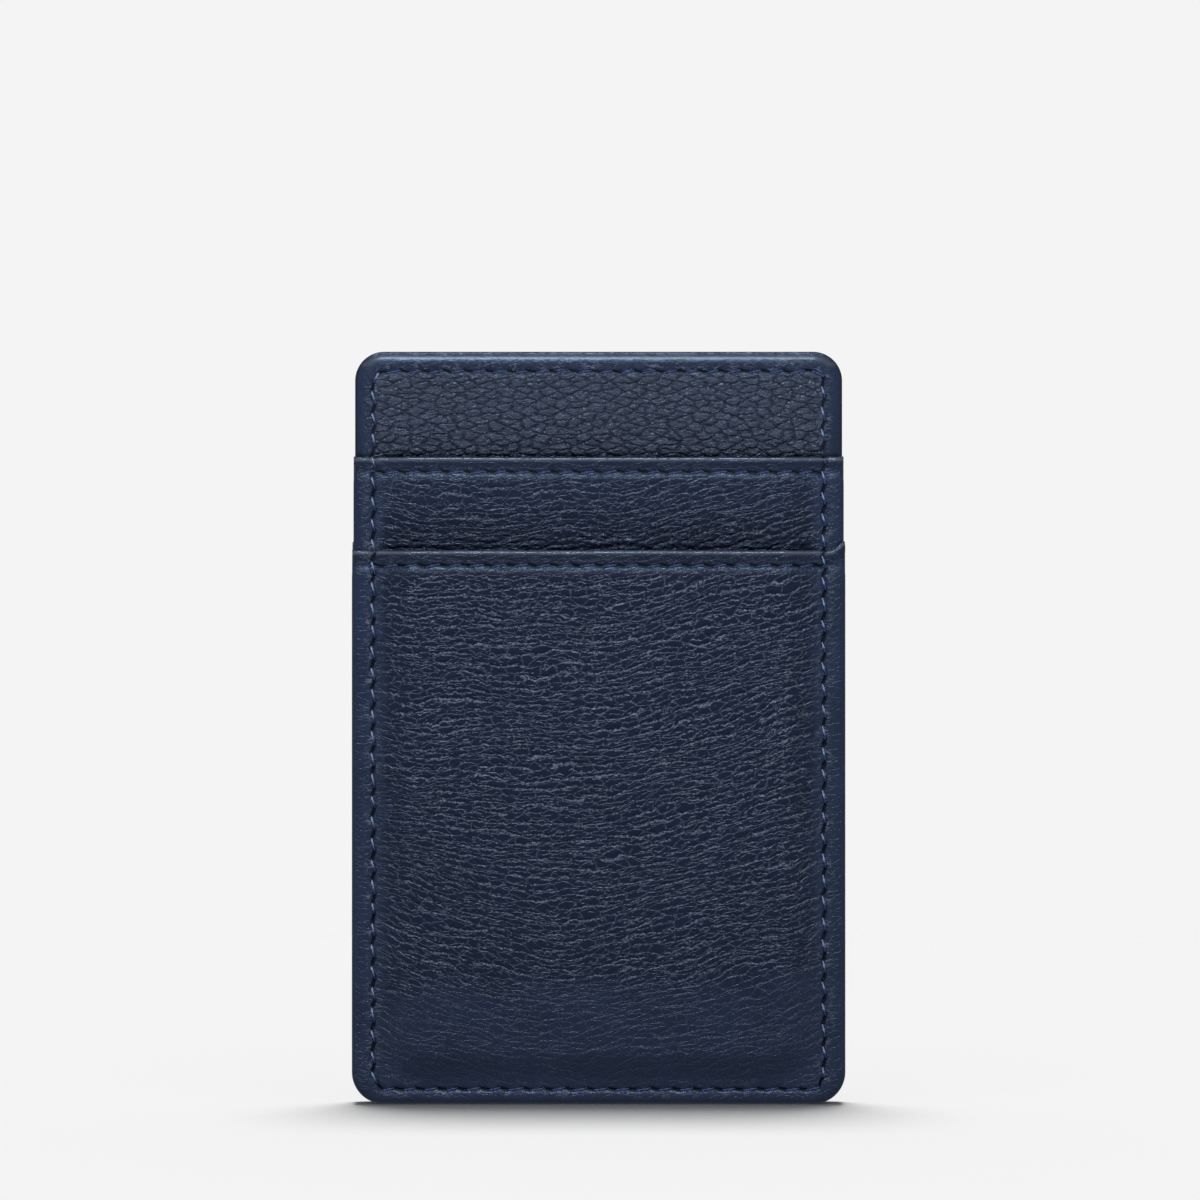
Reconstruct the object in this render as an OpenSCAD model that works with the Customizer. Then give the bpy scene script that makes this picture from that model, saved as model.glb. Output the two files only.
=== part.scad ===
// Upright card holder in turned-edge leather, with two staggered card slots on each side.
// It stands on its bottom edge: X across the holder, Y through its thickness, Z up.
// The origin is at the middle of the bottom edge, on the joint between the two halves.
// Each half is built outward from that joint and the front half is the mirror of the rear.

/* [Holder] */
// Width of the facing leather across its turned edges
body_w = 70; // [67:0.5:84]
// Height from the bottom edge to the top edge
body_h = 108; // [106:0.5:122]
// Radius of the facing's four corners
corner_r = 4.2; // [3:0.1:8]
// How far each pocket's skived edge stands outside the layer under it
wrap_t = 0.2; // [0.1:0.05:0.3]

/* [Card] */
// Width of a card
card_w = 54; // [50:0.5:56]
// Thickness of a card
card_t = 0.76; // [0.6:0.02:1.2]
// Room left for the card through the thickness of each slot
card_clear = 0.08; // [0.04:0.02:0.4]
// Room left beside the card, on each side
card_side = 0.3; // [0.1:0.1:0.6]

/* [Leather] */
// Stiffener board in each half, and the turned margin that lies round it
board_t = 0.3; // [0.2:0.05:0.6]
// Facing leather
facing_t = 0.6; // [0.5:0.05:1]
// Upper pocket leather
upper_t = 0.5; // [0.4:0.05:0.9]
// Lower pocket leather
lower_t = 0.6; // [0.4:0.05:0.9]
// Skived leather turned in behind a pocket mouth
turn_t = 0.3; // [0.2:0.05:0.4]
// Pocket lining cloth
lining_t = 0.25; // [0.15:0.05:0.4]
// Width of the facing's turned margin
margin_w = 8; // [5:0.5:11]
// Room between the board and the turned margin round it
board_clear = 0.1; // [0.05:0.05:0.3]
// How far the linings stop short of the edge
lining_inset = 1.2; // [0.9:0.1:1.8]
// Rounding where each pocket's edge meets the other half
joint_r = 0.2; // [0.1:0.05:0.3]

/* [Mouths] */
// Height of the upper pocket's mouth
upper_mouth = 93; // [91:0.5:100]
// Height of the lower pocket's mouth
lower_mouth = 79.6; // [74:0.2:84]
// Depth of the hem turned in at each mouth
hem_depth = 8; // [6:0.5:10]
// Height of the upper pocket's floor seam
floor_z = 11; // [10:0.5:16]

/* [Stitching] */
// Perimeter seam in from the facing's side edges
seam_side = 2.7; // [2.4:0.1:3.2]
// Perimeter seam down from the top edge
seam_top = 2.9; // [2.2:0.1:3.6]
// Perimeter seam up from the bottom edge
seam_bottom = 2.2; // [2:0.1:3]
// Pressed flat leather between a seam and the rise of a pocket
seam_flat = 0.6; // [0.4:0.1:1]
// Hem seam below its mouth
hem_seam = 2.4; // [1.6:0.1:4]
// Distance from one stitch to the next
stitch_pitch = 3.05; // [2.6:0.05:4]
// Length of thread that shows in one stitch
stitch_len = 1.75; // [1.2:0.05:2.2]
// Thread diameter
thread_d = 0.42; // [0.3:0.02:0.6]
// Slant of each stitch to its row
stitch_slant = 9; // [0:1:15]
// How far the thread of a hem seam lies below the leather's face
thread_sink = 0.03; // [0.01:0.01:0.08]
// Room beside the thread in the channel that a hem seam presses in
channel_side = 0.06; // [0.02:0.02:0.2]

/* [Hidden] */
$fn = 48;

// Layers from the joint outward: 0 is the facing, 1 the upper pocket, 2 the lower pocket
UPPER = 1;
LOWER = 2;
slot_gap = card_t + card_clear;
backing_t = max(turn_t, lining_t);
mouth = [body_h, upper_mouth, lower_mouth];

// Thickness of a pocket wall with what lies behind its leather
wall_t = [board_t + facing_t, backing_t + upper_t, backing_t + lower_t];

// Level of each layer's face at the pressed side seam
seam_level = [wall_t[0], wall_t[0] + wall_t[1], wall_t[0] + wall_t[1] + wall_t[2]];

// Rise of each pocket's slot face from the side seam to the card's middle
rise = [0, slot_gap, 2 * slot_gap];

// Outline of each layer: half width, bottom and corner radius
half_w = [for (k = [0:2]) body_w / 2 + k * wrap_t];
foot_z = [for (k = [0:2]) (LOWER - k) * wrap_t];
outline_r = [for (k = [0:2]) corner_r + k * wrap_t];

// Rounding of each layer's outer edge, and of its edge at the joint
edge_r = [wall_t[0] / 2, wall_t[1] + joint_r / 4, wall_t[2] + joint_r];
inner_r = [wall_t[0] / 2, joint_r, joint_r];

// Plateau over the card, and the S-shaped ramp between it and the seam
plateau_x = card_w / 2 + card_side;
ramp_l = body_w / 2 - seam_side - seam_flat - plateau_x;
plateau_r = 2.5;
plateau_z = [0, floor_z + seam_flat + ramp_l, seam_bottom + seam_flat + ramp_l];

// Channel that a hem seam presses into the leather, and how far the seam reaches across
channel_d = thread_d / 2 + thread_sink;
channel_w = (stitch_len - thread_d) * sin(stitch_slant) + thread_d + 2 * channel_side;
hem_reach = body_w / 2 - seam_side - stitch_pitch / 2;

// Turned mouth: radius of the fold and its centre, measured out from the slot face
fold_r = [0, (turn_t + upper_t) / 2, (turn_t + lower_t) / 2];
fold_c = wall_t - fold_r;

// Radius and steepest angle of the two equal arcs that make a ramp
function arc_r(k) = (pow(ramp_l / 2, 2) + pow(rise[k] / 2, 2)) / rise[k];
function arc_a(k) = asin(ramp_l / 2 / arc_r(k));

// Small sizes that only join round pieces: a thinning, a lap and the depth of a key
hair = 0.002;
lap = 0.02;
key = 0.05;

// Angle that one lap takes up on an arc
function turn(radius) = lap / radius * 180 / PI;

// Places along a row between two ends, evenly spaced at about the stitch pitch
function places(a, b) = let (n = max(1, floor((b - a) / stitch_pitch + 0.01)))
    [for (i = [0 : n - 1]) a + (i + 0.5) * (b - a) / n];

module front() {
    mirror([0, 1, 0]) children();
}

// Section of an edge: a flat band as wide as the outline radius, rounded on its outside
module edge_section(k) {
    r = outline_r[k];
    top = seam_level[k];
    ro = edge_r[k];
    ri = inner_r[k];
    difference() {
        square([r, top]);
        difference() {
            translate([r - ro, top - ro]) square(ro + 1);
            translate([r - ro, top - ro]) circle(ro);
        }
        difference() {
            translate([r - ri, -1]) square(ri + 1);
            translate([r - ri, ri]) circle(ri);
        }
    }
}

// Section of a pocket's swelling: the plateau's corner, then the ramp down to the seam.
// The arcs stand a hair under each other, so that they meet at a clean edge.
module swell_section(k, offset_t) {
    r = arc_r(k);
    join = (r + offset_t) * sin(arc_a(k));
    crest = rise[k] + offset_t;
    square([plateau_r + ramp_l, seam_level[k - 1] + offset_t]);
    translate([0, seam_level[k - 1]]) {
        square([plateau_r, crest]);
        translate([plateau_r, 0]) {
            intersection() {
                translate([0, rise[k] - r]) circle(r + offset_t - hair);
                square([join, crest]);
            }
            difference() {
                translate([join, 0]) square([ramp_l - join, crest]);
                translate([ramp_l, r]) circle(r - offset_t + 2 * hair);
                translate([join, r]) square([ramp_l, crest]);
            }
        }
    }
}

// Carries a section round the bottom and up both sides, and over the top if it is closed
module carry_round(hw, z1, z2, r, closed) {
    run = z2 - z1 - (closed ? 2 * r : r);
    for (side = [0, 1]) mirror([side, 0, 0]) {
        translate([hw - r, 0, z1 + r]) {
            linear_extrude(run) children();
            rotate([-90, 0, 0]) rotate_extrude(angle = 90) children();
        }
        if (closed) translate([hw - r, 0, z2 - r]) mirror([0, 0, 1])
            rotate([-90, 0, 0]) rotate_extrude(angle = 90) children();
    }
    translate([r - hw, 0, z1 + r]) rotate([0, 90, 0]) linear_extrude(2 * (hw - r)) children();
    if (closed) translate([hw - r, 0, z2 - r]) rotate([0, -90, 0])
        linear_extrude(2 * (hw - r)) children();
}

// Flat slab of one layer with its rounded edges, from the joint to its level at the seam
module slab(k, z2, closed = false) {
    r = outline_r[k];
    carry_round(half_w[k], foot_z[k], z2, r, closed) edge_section(k);
    translate([r - half_w[k], 0, foot_z[k] + r])
        cube([2 * (half_w[k] - r), seam_level[k], z2 - foot_z[k] - (closed ? 2 * r : r)]);
}

// Swelling of a pocket over its cards, out to a distance from the slot face
module swelling(k, offset_t, z2) {
    carry_round(plateau_x + ramp_l, plateau_z[k] - ramp_l, z2, plateau_r + ramp_l, false)
        swell_section(k, offset_t);
    translate([plateau_r - plateau_x, 0, plateau_z[k] + plateau_r])
        cube([2 * (plateau_x - plateau_r), seam_level[k - 1] + rise[k] + offset_t,
            z2 - plateau_z[k] - plateau_r]);
}

// Rectangle inside a layer's outline, between two levels
module inset_block(k, inset, z2, v1, v2) {
    z1 = foot_z[k] + inset;
    translate([inset - half_w[k], v1, z1]) cube([2 * (half_w[k] - inset), v2 - v1, z2 - z1]);
}

// Facing leather: folded edges all round, with the board's recess inside its turned margin
module facing() {
    difference() {
        slab(0, body_h, closed = true);
        translate([0, -1, 0]) inset_block(0, margin_w, body_h - margin_w, 0, board_t + 1);
    }
}

module board() {
    gap = margin_w + board_clear;
    inset_block(0, gap, body_h - gap, 0, board_t);
}

// Half of the round fold, standing on the flat top of a pocket wall and keyed into it.
// Pieces of the fold are numbered outward, each a hair thinner than the one it laps into,
// so that they join without edges that nearly touch.
module fold_section(k, piece) {
    r = fold_r[k] - piece * hair;
    intersection() {
        circle(r);
        translate([-r, 0]) square([2 * r, r]);
    }
    translate([key - r, -key]) square([2 * (r - key), 2 * key]);
}

// Arc of the fold, drawn about its own centre in plan
module fold_arc(k, piece, centre, start, sweep, radius) {
    translate([centre[0], centre[1], mouth[k] - fold_r[k]]) rotate([0, 0, start])
        rotate_extrude(angle = sweep) translate([radius, 0]) fold_section(k, piece);
}

// Straight run of the fold, at one level, between two places across the holder
module fold_run(k, piece, x1, x2, level) {
    translate([x1, level, mouth[k] - fold_r[k]]) rotate([90, 0, 90])
        linear_extrude(x2 - x1) fold_section(k, piece);
}

// Turned mouth that follows the wall: plateau, ramps, pressed seams and round the side edges
module mouth_fold(k) {
    base = seam_level[k - 1];
    foot = plateau_x + ramp_l;
    r = arc_r(k);
    a = arc_a(k);
    crest_path = r + fold_c[k];
    foot_path = r - fold_c[k];
    bend_path = edge_r[k] - fold_r[k];
    bend_x = half_w[k] - edge_r[k];
    bend_v = seam_level[k] - edge_r[k];
    fold_run(k, 1, -plateau_x, plateau_x, base + rise[k] + fold_c[k]);
    for (side = [0, 1]) mirror([side, 0, 0]) {
        fold_arc(k, 2, [plateau_x, base + rise[k] - r], 90 - a, a + turn(crest_path), crest_path);
        fold_arc(k, 3, [foot, base + r], 270 - a - turn(foot_path), a + turn(foot_path), foot_path);
        fold_run(k, 4, foot - lap, bend_x, base + fold_c[k]);
        fold_arc(k, 5, [bend_x, bend_v], 0, 90 + turn(bend_path), bend_path);
        translate([half_w[k] - fold_r[k], joint_r, mouth[k] - fold_r[k]])
            rotate([-90, 0, 0]) mirror([0, 1, 0])
            linear_extrude(bend_v - joint_r + lap) fold_section(k, 6);
    }
}

// Channel of the hem seam, equally deep on the plateau and on the ramps
module hem_channel(k) {
    difference() {
        translate([-hem_reach, seam_level[k] - 2 * channel_d, mouth[k] - hem_seam - channel_w / 2])
            cube([2 * hem_reach, rise[k] + 3 * channel_d, channel_w]);
        swelling(k, wall_t[k] - channel_d, mouth[k]);
    }
}

// Pocket leather: wrapped round the sides and the bottom, with its mouth turned in
module pocket(k) {
    top = mouth[k] - fold_r[k];
    hem_end = mouth[k] - hem_depth;
    base = seam_level[k - 1];
    difference() {
        union() {
            slab(k, top);
            swelling(k, wall_t[k], top);
            mouth_fold(k);
        }
        slab(k - 1, mouth[k] + 1);
        translate([0, -1, 0]) inset_block(k - 1, 0, mouth[k] + 1, 0, inner_r[k - 1] + 1);
        inset_block(k - 1, lining_inset, hem_end, base - 0.1, base + backing_t);
        swelling(k, backing_t, hem_end);
        swelling(k, backing_t - turn_t, mouth[k] + 1);
        hem_channel(k);
    }
}

// Lining cloth on the back of a pocket's leather, from the hem down
module lining(k) {
    top = mouth[k] - hem_depth;
    base = seam_level[k - 1];
    near = backing_t - lining_t;
    difference() {
        union() {
            inset_block(k - 1, lining_inset, top, base + near, base + backing_t);
            intersection() {
                swelling(k, backing_t, top);
                inset_block(k - 1, lining_inset, top, base + near, base + rise[k] + backing_t);
            }
        }
        swelling(k, near, top + 1);
    }
}

// One stitch: a half-round bar of thread lying on a flat face, upright
module stitch() {
    r = thread_d / 2;
    straight = stitch_len - thread_d;
    rotate_extrude(angle = 180) intersection() {
        union() {
            translate([-r, -straight / 2]) square([thread_d, straight]);
            for (end = [-1, 1]) translate([0, end * straight / 2]) circle(r);
        }
        translate([0, -stitch_len]) square([thread_d, 2 * stitch_len]);
    }
}

// Row of stitches up the holder at one level
module upright_row(x, z1, z2, level) {
    for (z = places(z1, z2)) translate([x, level, z]) rotate([0, -stitch_slant, 0]) stitch();
}

// Row of stitches across the holder at one level
module level_row(x1, x2, z, level) {
    for (x = places(x1, x2)) translate([x, level, z]) rotate([0, 90 - stitch_slant, 0]) stitch();
}

// Seam all round the holder, in one run for each layer that it crosses
module perimeter_stitches() {
    x = body_w / 2 - seam_side;
    corner = stitch_pitch / 2;
    z_low = seam_bottom + corner;
    z_high = body_h - seam_top - corner;
    for (side = [-1, 1]) {
        upright_row(side * x, z_low, lower_mouth, seam_level[LOWER]);
        upright_row(side * x, lower_mouth, upper_mouth, seam_level[UPPER]);
        upright_row(side * x, upper_mouth, z_high, seam_level[0]);
    }
    level_row(corner - x, x - corner, seam_bottom, seam_level[LOWER]);
    level_row(corner - x, x - corner, body_h - seam_top, seam_level[0]);
}

// Level of a hem channel's floor at a place across the holder
function floor_level(k, x) =
    let (t = abs(x) - plateau_x, w = wall_t[k] - channel_d, r = arc_r(k), base = seam_level[k - 1])
    t <= 0 ? base + rise[k] + w
    : t <= (r + w) * sin(arc_a(k)) ? base + rise[k] - r + sqrt(pow(r + w, 2) - t * t)
    : t < ramp_l ? base + r - sqrt(pow(r - w, 2) - pow(ramp_l - t, 2))
    : base + w;

// Seam across the hem, which climbs the ramps with the leather
module hem_stitches(k) {
    for (x = places(-hem_reach, hem_reach)) {
        x1 = x - stitch_len / 2;
        x2 = x + stitch_len / 2;
        level = max(floor_level(k, x), (floor_level(k, x1) + floor_level(k, x2)) / 2);
        slope = atan((floor_level(k, x2) - floor_level(k, x1)) / stitch_len);
        translate([x, level, mouth[k] - hem_seam]) rotate([0, 0, slope])
            rotate([0, 90 - stitch_slant, 0]) stitch();
    }
}

// Seam that closes the foot of the upper pocket, inside the lower pocket
module pocket_floor_stitches() {
    level_row(-hem_reach, hem_reach, floor_z, seam_level[UPPER]);
}

module front_board() { color("Tan") front() board(); }
module rear_board() { color("Tan") board(); }
module front_facing() { color("#2b3850") front() facing(); }
module rear_facing() { color("#2b3850") facing(); }
module front_upper_pocket() { color("#27344c") front() pocket(UPPER); }
module rear_upper_pocket() { color("#27344c") pocket(UPPER); }
module front_lower_pocket() { color("#243149") front() pocket(LOWER); }
module rear_lower_pocket() { color("#243149") pocket(LOWER); }
module front_upper_lining() { color("#1b2233") front() lining(UPPER); }
module rear_upper_lining() { color("#1b2233") lining(UPPER); }
module front_lower_lining() { color("#1b2233") front() lining(LOWER); }
module rear_lower_lining() { color("#1b2233") lining(LOWER); }
module front_perimeter_stitches() { color("#3f4f8c") front() perimeter_stitches(); }
module rear_perimeter_stitches() { color("#3f4f8c") perimeter_stitches(); }
module front_upper_hem_stitches() { color("#3f4f8c") front() hem_stitches(UPPER); }
module rear_upper_hem_stitches() { color("#3f4f8c") hem_stitches(UPPER); }
module front_lower_hem_stitches() { color("#3f4f8c") front() hem_stitches(LOWER); }
module rear_lower_hem_stitches() { color("#3f4f8c") hem_stitches(LOWER); }
module front_pocket_floor_stitches() { color("#3f4f8c") front() pocket_floor_stitches(); }
module rear_pocket_floor_stitches() { color("#3f4f8c") pocket_floor_stitches(); }

front_board();
rear_board();
front_facing();
rear_facing();
front_upper_pocket();
rear_upper_pocket();
front_lower_pocket();
rear_lower_pocket();
front_upper_lining();
rear_upper_lining();
front_lower_lining();
rear_lower_lining();
front_perimeter_stitches();
rear_perimeter_stitches();
front_upper_hem_stitches();
rear_upper_hem_stitches();
front_lower_hem_stitches();
rear_lower_hem_stitches();
front_pocket_floor_stitches();
rear_pocket_floor_stitches();
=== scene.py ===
"""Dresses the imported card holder: grained leather, twisted thread, woven lining, and a plain studio."""

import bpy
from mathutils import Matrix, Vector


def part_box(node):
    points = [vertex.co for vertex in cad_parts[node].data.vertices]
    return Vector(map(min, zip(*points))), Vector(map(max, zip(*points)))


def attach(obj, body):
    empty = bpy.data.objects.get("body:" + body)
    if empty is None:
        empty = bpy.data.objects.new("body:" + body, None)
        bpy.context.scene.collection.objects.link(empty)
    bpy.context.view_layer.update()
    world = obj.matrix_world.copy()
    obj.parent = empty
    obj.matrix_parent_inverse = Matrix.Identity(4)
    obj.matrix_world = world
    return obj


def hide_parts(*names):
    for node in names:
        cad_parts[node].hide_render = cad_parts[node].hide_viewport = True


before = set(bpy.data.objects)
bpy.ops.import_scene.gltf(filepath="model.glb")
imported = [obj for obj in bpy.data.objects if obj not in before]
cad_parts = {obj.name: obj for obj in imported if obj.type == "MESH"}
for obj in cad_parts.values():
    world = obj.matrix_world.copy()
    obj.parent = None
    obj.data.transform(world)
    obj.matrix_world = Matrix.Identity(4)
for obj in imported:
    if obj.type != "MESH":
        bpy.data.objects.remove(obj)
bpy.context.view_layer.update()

import math

import bpy
import numpy as np
from bpy.props import FloatProperty, FloatVectorProperty, IntProperty, PointerProperty
from mathutils import Matrix, Vector

bl_info = {
    "name": "Card holder",
    "version": (1, 0, 0),
    "blender": (4, 5, 0),
    "location": "View3D > Sidebar > Card Holder",
    "description": "Leather, thread and lining of a two-sided card holder around its CAD solids",
    "category": "Object",
}

MM = 0.001
UV_PER_MM = 0.01
HALVES = ("front", "rear")
LAYERS = ("facing", "upper_pocket", "lower_pocket")
FACING, UPPER, LOWER = range(3)
FINE_CUTS = 3
FINE = FINE_CUTS + 1

# Sizes of the leather in millimetres.
STITCH_HALF = 0.31       # from a seam's line to the side of its row of stitch solids
FACING_LEATHER = 0.4     # thickness of the facing's outer leather
FACING_TUCK = 0.25       # radius where the facing's edge turns in
HEM_ROOM = 0.06          # left between a pocket's leather and its turned hem
LEAST_THICKNESS = 0.04   # kept under the deepest relief
SLIT_DEPTH = 0.34        # how deep a needle slit presses in


# ---------------------------------------------------------------- settings

class HolderShape(bpy.types.PropertyGroup):
    """Sizes that the solids' boxes don't say"""
    slot_depth: FloatProperty(
        name="Slot depth", description="Room for one card between two layers",
        default=0.00084, unit="LENGTH")
    corner_radius: FloatProperty(
        name="Corner radius", description="Corner radius of the facing's outline",
        default=0.0042, unit="LENGTH")
    plateau_half: FloatProperty(
        name="Plateau half width", description="Half width of the flat face over a card",
        default=0.0273, unit="LENGTH")
    plateau_round: FloatProperty(
        name="Plateau corner", description="Corner radius of the flat face over a card",
        default=0.0025, unit="LENGTH")
    ramp_width: FloatProperty(
        name="Ramp width", description="Width of the rise from the pressed seam to the card",
        default=0.0044, unit="LENGTH")
    seam_flat: FloatProperty(
        name="Pressed flat", description="Flat leather between a seam and the ramp",
        default=0.0006, unit="LENGTH")
    facing_roll: FloatProperty(
        name="Facing roll", description="How far in the facing's edge begins to roll over",
        default=0.00175, unit="LENGTH")
    pocket_fold: FloatProperty(
        name="Pocket edge", description="How far in a pocket's side edge begins to round over",
        default=0.0011, unit="LENGTH")
    turned_width: FloatProperty(
        name="Turned margin", description="Leather that runs in behind the facing's edge",
        default=0.0025, unit="LENGTH")
    joint_round: FloatProperty(
        name="Joint rounding", description="Rounding where a pocket's edge meets the other half",
        default=0.0002, unit="LENGTH")
    hem_depth: FloatProperty(
        name="Hem depth", description="Leather turned in behind a mouth",
        default=0.0078, unit="LENGTH")
    skived: FloatProperty(
        name="Skived leather", description="Thickness of the leather where it is turned in",
        default=0.00025, unit="LENGTH")
    wrapped: FloatProperty(
        name="Wrapped leather", description="Thickness of a pocket's leather round the sides",
        default=0.00017, unit="LENGTH")


class HolderSeams(bpy.types.PropertyGroup):
    """Sizes of the stitching"""
    thread: FloatProperty(
        name="Thread", description="Diameter of the two-ply thread", default=0.00028, unit="LENGTH")
    pitch: FloatProperty(
        name="Stitch pitch", description="Distance from one stitch to the next",
        default=0.00305, unit="LENGTH")
    level_stitch: FloatProperty(
        name="Stitch across", description="Thread that shows in a stitch across the holder",
        default=0.0017, unit="LENGTH")
    upright_stitch: FloatProperty(
        name="Stitch along", description="Thread that shows in a stitch up the sides",
        default=0.0016, unit="LENGTH")
    sway: FloatProperty(
        name="Sway", description="How far each stitch's ends stand to either side of the seam",
        default=0.00021, unit="LENGTH")
    groove: FloatProperty(
        name="Groove", description="How deep a seam pulls the leather in",
        default=0.00017, unit="LENGTH")
    corner: FloatProperty(
        name="Seam corner", description="Radius of the perimeter seam's corners",
        default=0.0014, unit="LENGTH")
    open_hole: FloatProperty(
        name="Open hole", description="Height of the upper of two needle holes that stayed open",
        default=0.0511, unit="LENGTH")
    seed: IntProperty(name="Seed", description="Seed of the small irregularities", default=7)


class HolderColours(bpy.types.PropertyGroup):
    """Colours of the finishes"""
    leather: FloatVectorProperty(
        name="Leather", description="Colour of the leather's face", subtype="COLOR",
        default=(0.0262, 0.042, 0.098), min=0, max=1)
    # Painted shade in creases, pebble valleys, needle slits, above the mouths and on the hems; also the
    # darker speckle of the grain and the darker creased field.
    leather_dark_and_shade: FloatVectorProperty(
        name="Leather in creases", description="Colour in creases and needle slits",
        subtype="COLOR", default=(0.0056, 0.0102, 0.034), min=0, max=1)
    # Painted highlight along the mouths' folds and the facing's top edge; also the paler dye over the
    # facing's rubbed grain.
    fold_highlight_and_pale_dye: FloatVectorProperty(
        name="Leather on folds", description="Colour of the leather along turned edges",
        subtype="COLOR", default=(0.17, 0.195, 0.25), min=0, max=1)
    # Painted highlight on the lips of creases and on the puckers beside the seams.
    crease_highlight: FloatVectorProperty(
        name="Leather on crease lips", description="Colour where creases have rubbed the dye away",
        subtype="COLOR", default=(0.225, 0.27, 0.385), min=0, max=1)
    thread: FloatVectorProperty(
        name="Thread", description="Colour of the thread", subtype="COLOR",
        default=(0.06, 0.105, 0.28), min=0, max=1)
    # Painted highlight near the upper end of each upright stitch.
    thread_highlight: FloatVectorProperty(
        name="Thread on top", description="Colour of the thread where it is rubbed shiny",
        subtype="COLOR", default=(0.48, 0.66, 1.0), min=0, max=1)
    lining: FloatVectorProperty(
        name="Lining", description="Colour of the lining cloth", subtype="COLOR",
        default=(0.010, 0.013, 0.022), min=0, max=1)
    board: FloatVectorProperty(
        name="Board", description="Colour of the stiffener board", subtype="COLOR",
        default=(0.30, 0.24, 0.16), min=0, max=1)


class HolderStudio(bpy.types.PropertyGroup):
    """Camera and light"""
    lens: FloatProperty(
        name="Lens", description="Focal length in millimetres", default=150.0)
    frame_width: FloatProperty(
        name="Frame width", description="Width of the view at the holder's front face",
        default=0.1715, unit="LENGTH")
    eye_height: FloatProperty(
        name="Eye height", description="Height of the camera above the floor",
        default=0.0723, unit="LENGTH")
    eye_aside: FloatProperty(
        name="Eye aside", description="How far the camera stands to the right of the middle",
        default=0.0002, unit="LENGTH")
    backdrop: FloatProperty(
        name="Backdrop", description="Brightness of floor and backdrop", default=0.904)
    dome: FloatProperty(
        name="Dome", description="Strength of the light from all round", default=0.19)
    floor_albedo: FloatProperty(
        name="Floor albedo", description="Share of the light that the floor gives back", default=0.93)
    floor_reach: FloatProperty(
        name="Floor reach", description="Radius of the floor, which fades into the backdrop",
        default=0.45, unit="LENGTH")
    softbox_width: FloatProperty(
        name="Softbox width", description="Width of the softbox over each face",
        default=0.40, unit="LENGTH")
    softbox_depth: FloatProperty(
        name="Softbox depth", description="Depth of the softbox over each face",
        default=0.22, unit="LENGTH")
    softbox_side: FloatProperty(
        name="Softbox aside", description="How far the softbox stands to the right of its face's middle",
        default=0.08, unit="LENGTH")
    softbox_away: FloatProperty(
        name="Softbox away", description="How far the softbox stands in front of its face",
        default=0.65, unit="LENGTH")
    softbox_height: FloatProperty(
        name="Softbox height", description="Height of the softboxes above the floor",
        default=0.85, unit="LENGTH")
    softbox_power: FloatProperty(
        name="Softbox power", description="Power of each softbox", default=4.4, unit="POWER")
    fill_power: FloatProperty(
        name="Fill power", description="Power of each weak light low to the sides of a face",
        default=2.0, unit="POWER")
    shadow_lean: FloatProperty(
        name="Shadow lean", description="How far behind the vertical the floor's light stands",
        default=math.radians(11.5), unit="ROTATION")
    shadow_softness: FloatProperty(
        name="Shadow softness", description="Angle that the floor's light spreads over",
        default=math.radians(22), unit="ROTATION")


# ---------------------------------------------------------------- noise

def scramble(*parts):
    """A repeatable number from 0 to 1 for each set of whole numbers."""
    total = np.full(np.shape(parts[0]), 374761393, np.uint32)
    for part, prime in zip(parts, (668265263, 2246822519, 3266489917, 2654435761)):
        whole = np.asarray(part).astype(np.int64).astype(np.uint32)
        total = (total ^ (whole * np.uint32(prime))) * np.uint32(1274126177)
        total ^= total >> np.uint32(15)
    return total.astype(np.float64) / 4294967295.0


def smooth_noise(x, y, seed):
    """Smooth noise from -1 to 1 with features one unit across."""
    ix, iy = np.floor(x), np.floor(y)
    fx, fy = x - ix, y - iy
    ux = fx * fx * fx * (fx * (6 * fx - 15) + 10)
    uy = fy * fy * fy * (fy * (6 * fy - 15) + 10)
    def slope(dx, dy):
        turn = scramble(ix + dx, iy + dy, np.full(np.shape(x), seed)) * 2 * math.pi
        return np.cos(turn) * (fx - dx) + np.sin(turn) * (fy - dy)
    low = slope(0, 0) * (1 - ux) + slope(1, 0) * ux
    high = slope(0, 1) * (1 - ux) + slope(1, 1) * ux
    return (low * (1 - uy) + high * uy) * 1.4


def step(low, high, value):
    """A smooth step from 0 at low to 1 at high."""
    t = np.clip((value - low) / (high - low), 0, 1)
    return t * t * (3 - 2 * t)


def cell_borders(x, y, wide, tall, seed, jitter=0.9):
    """Distance to the nearest border between cells of the given size, and how level that border runs."""
    u, v = x / wide, y / tall
    iu, iv = np.floor(u), np.floor(v)
    def centre(ju, jv):
        side = np.full(np.shape(u), seed)
        return (ju + 0.5 + jitter * (scramble(ju, jv, side) - 0.5),
                jv + 0.5 + jitter * (scramble(ju, jv, side + 1) - 0.5))
    best = np.full(np.shape(u), 9.0)
    own = [np.zeros_like(u), np.zeros_like(u), iu, iv]
    for du in (-1, 0, 1):
        for dv in (-1, 0, 1):
            cu, cv = centre(iu + du, iv + dv)
            far = (cu - u) ** 2 + (cv - v) ** 2
            closer = far < best
            best = np.where(closer, far, best)
            for i, value in enumerate((cu, cv, iu + du, iv + dv)):
                own[i] = np.where(closer, value, own[i])
    border = np.full(np.shape(u), 9.0)
    level = np.zeros_like(u)
    for du in range(-2, 3):
        for dv in range(-2, 3):
            if du == 0 and dv == 0:
                continue
            cu, cv = centre(own[2] + du, own[3] + dv)
            wu, wv = cu - own[0], cv - own[1]
            across = ((own[0] + cu) / 2 - u) * wu + ((own[1] + cv) / 2 - v) * wv
            steep = np.hypot(wu / wide, wv / tall)
            far = across / np.maximum(steep, 1e-6)
            closer = far < border
            border = np.where(closer, far, border)
            level = np.where(closer, (wv / tall) ** 2 / np.maximum(steep, 1e-6) ** 2, level)
    return border, level


# ---------------------------------------------------------------- the form of each layer

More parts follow.
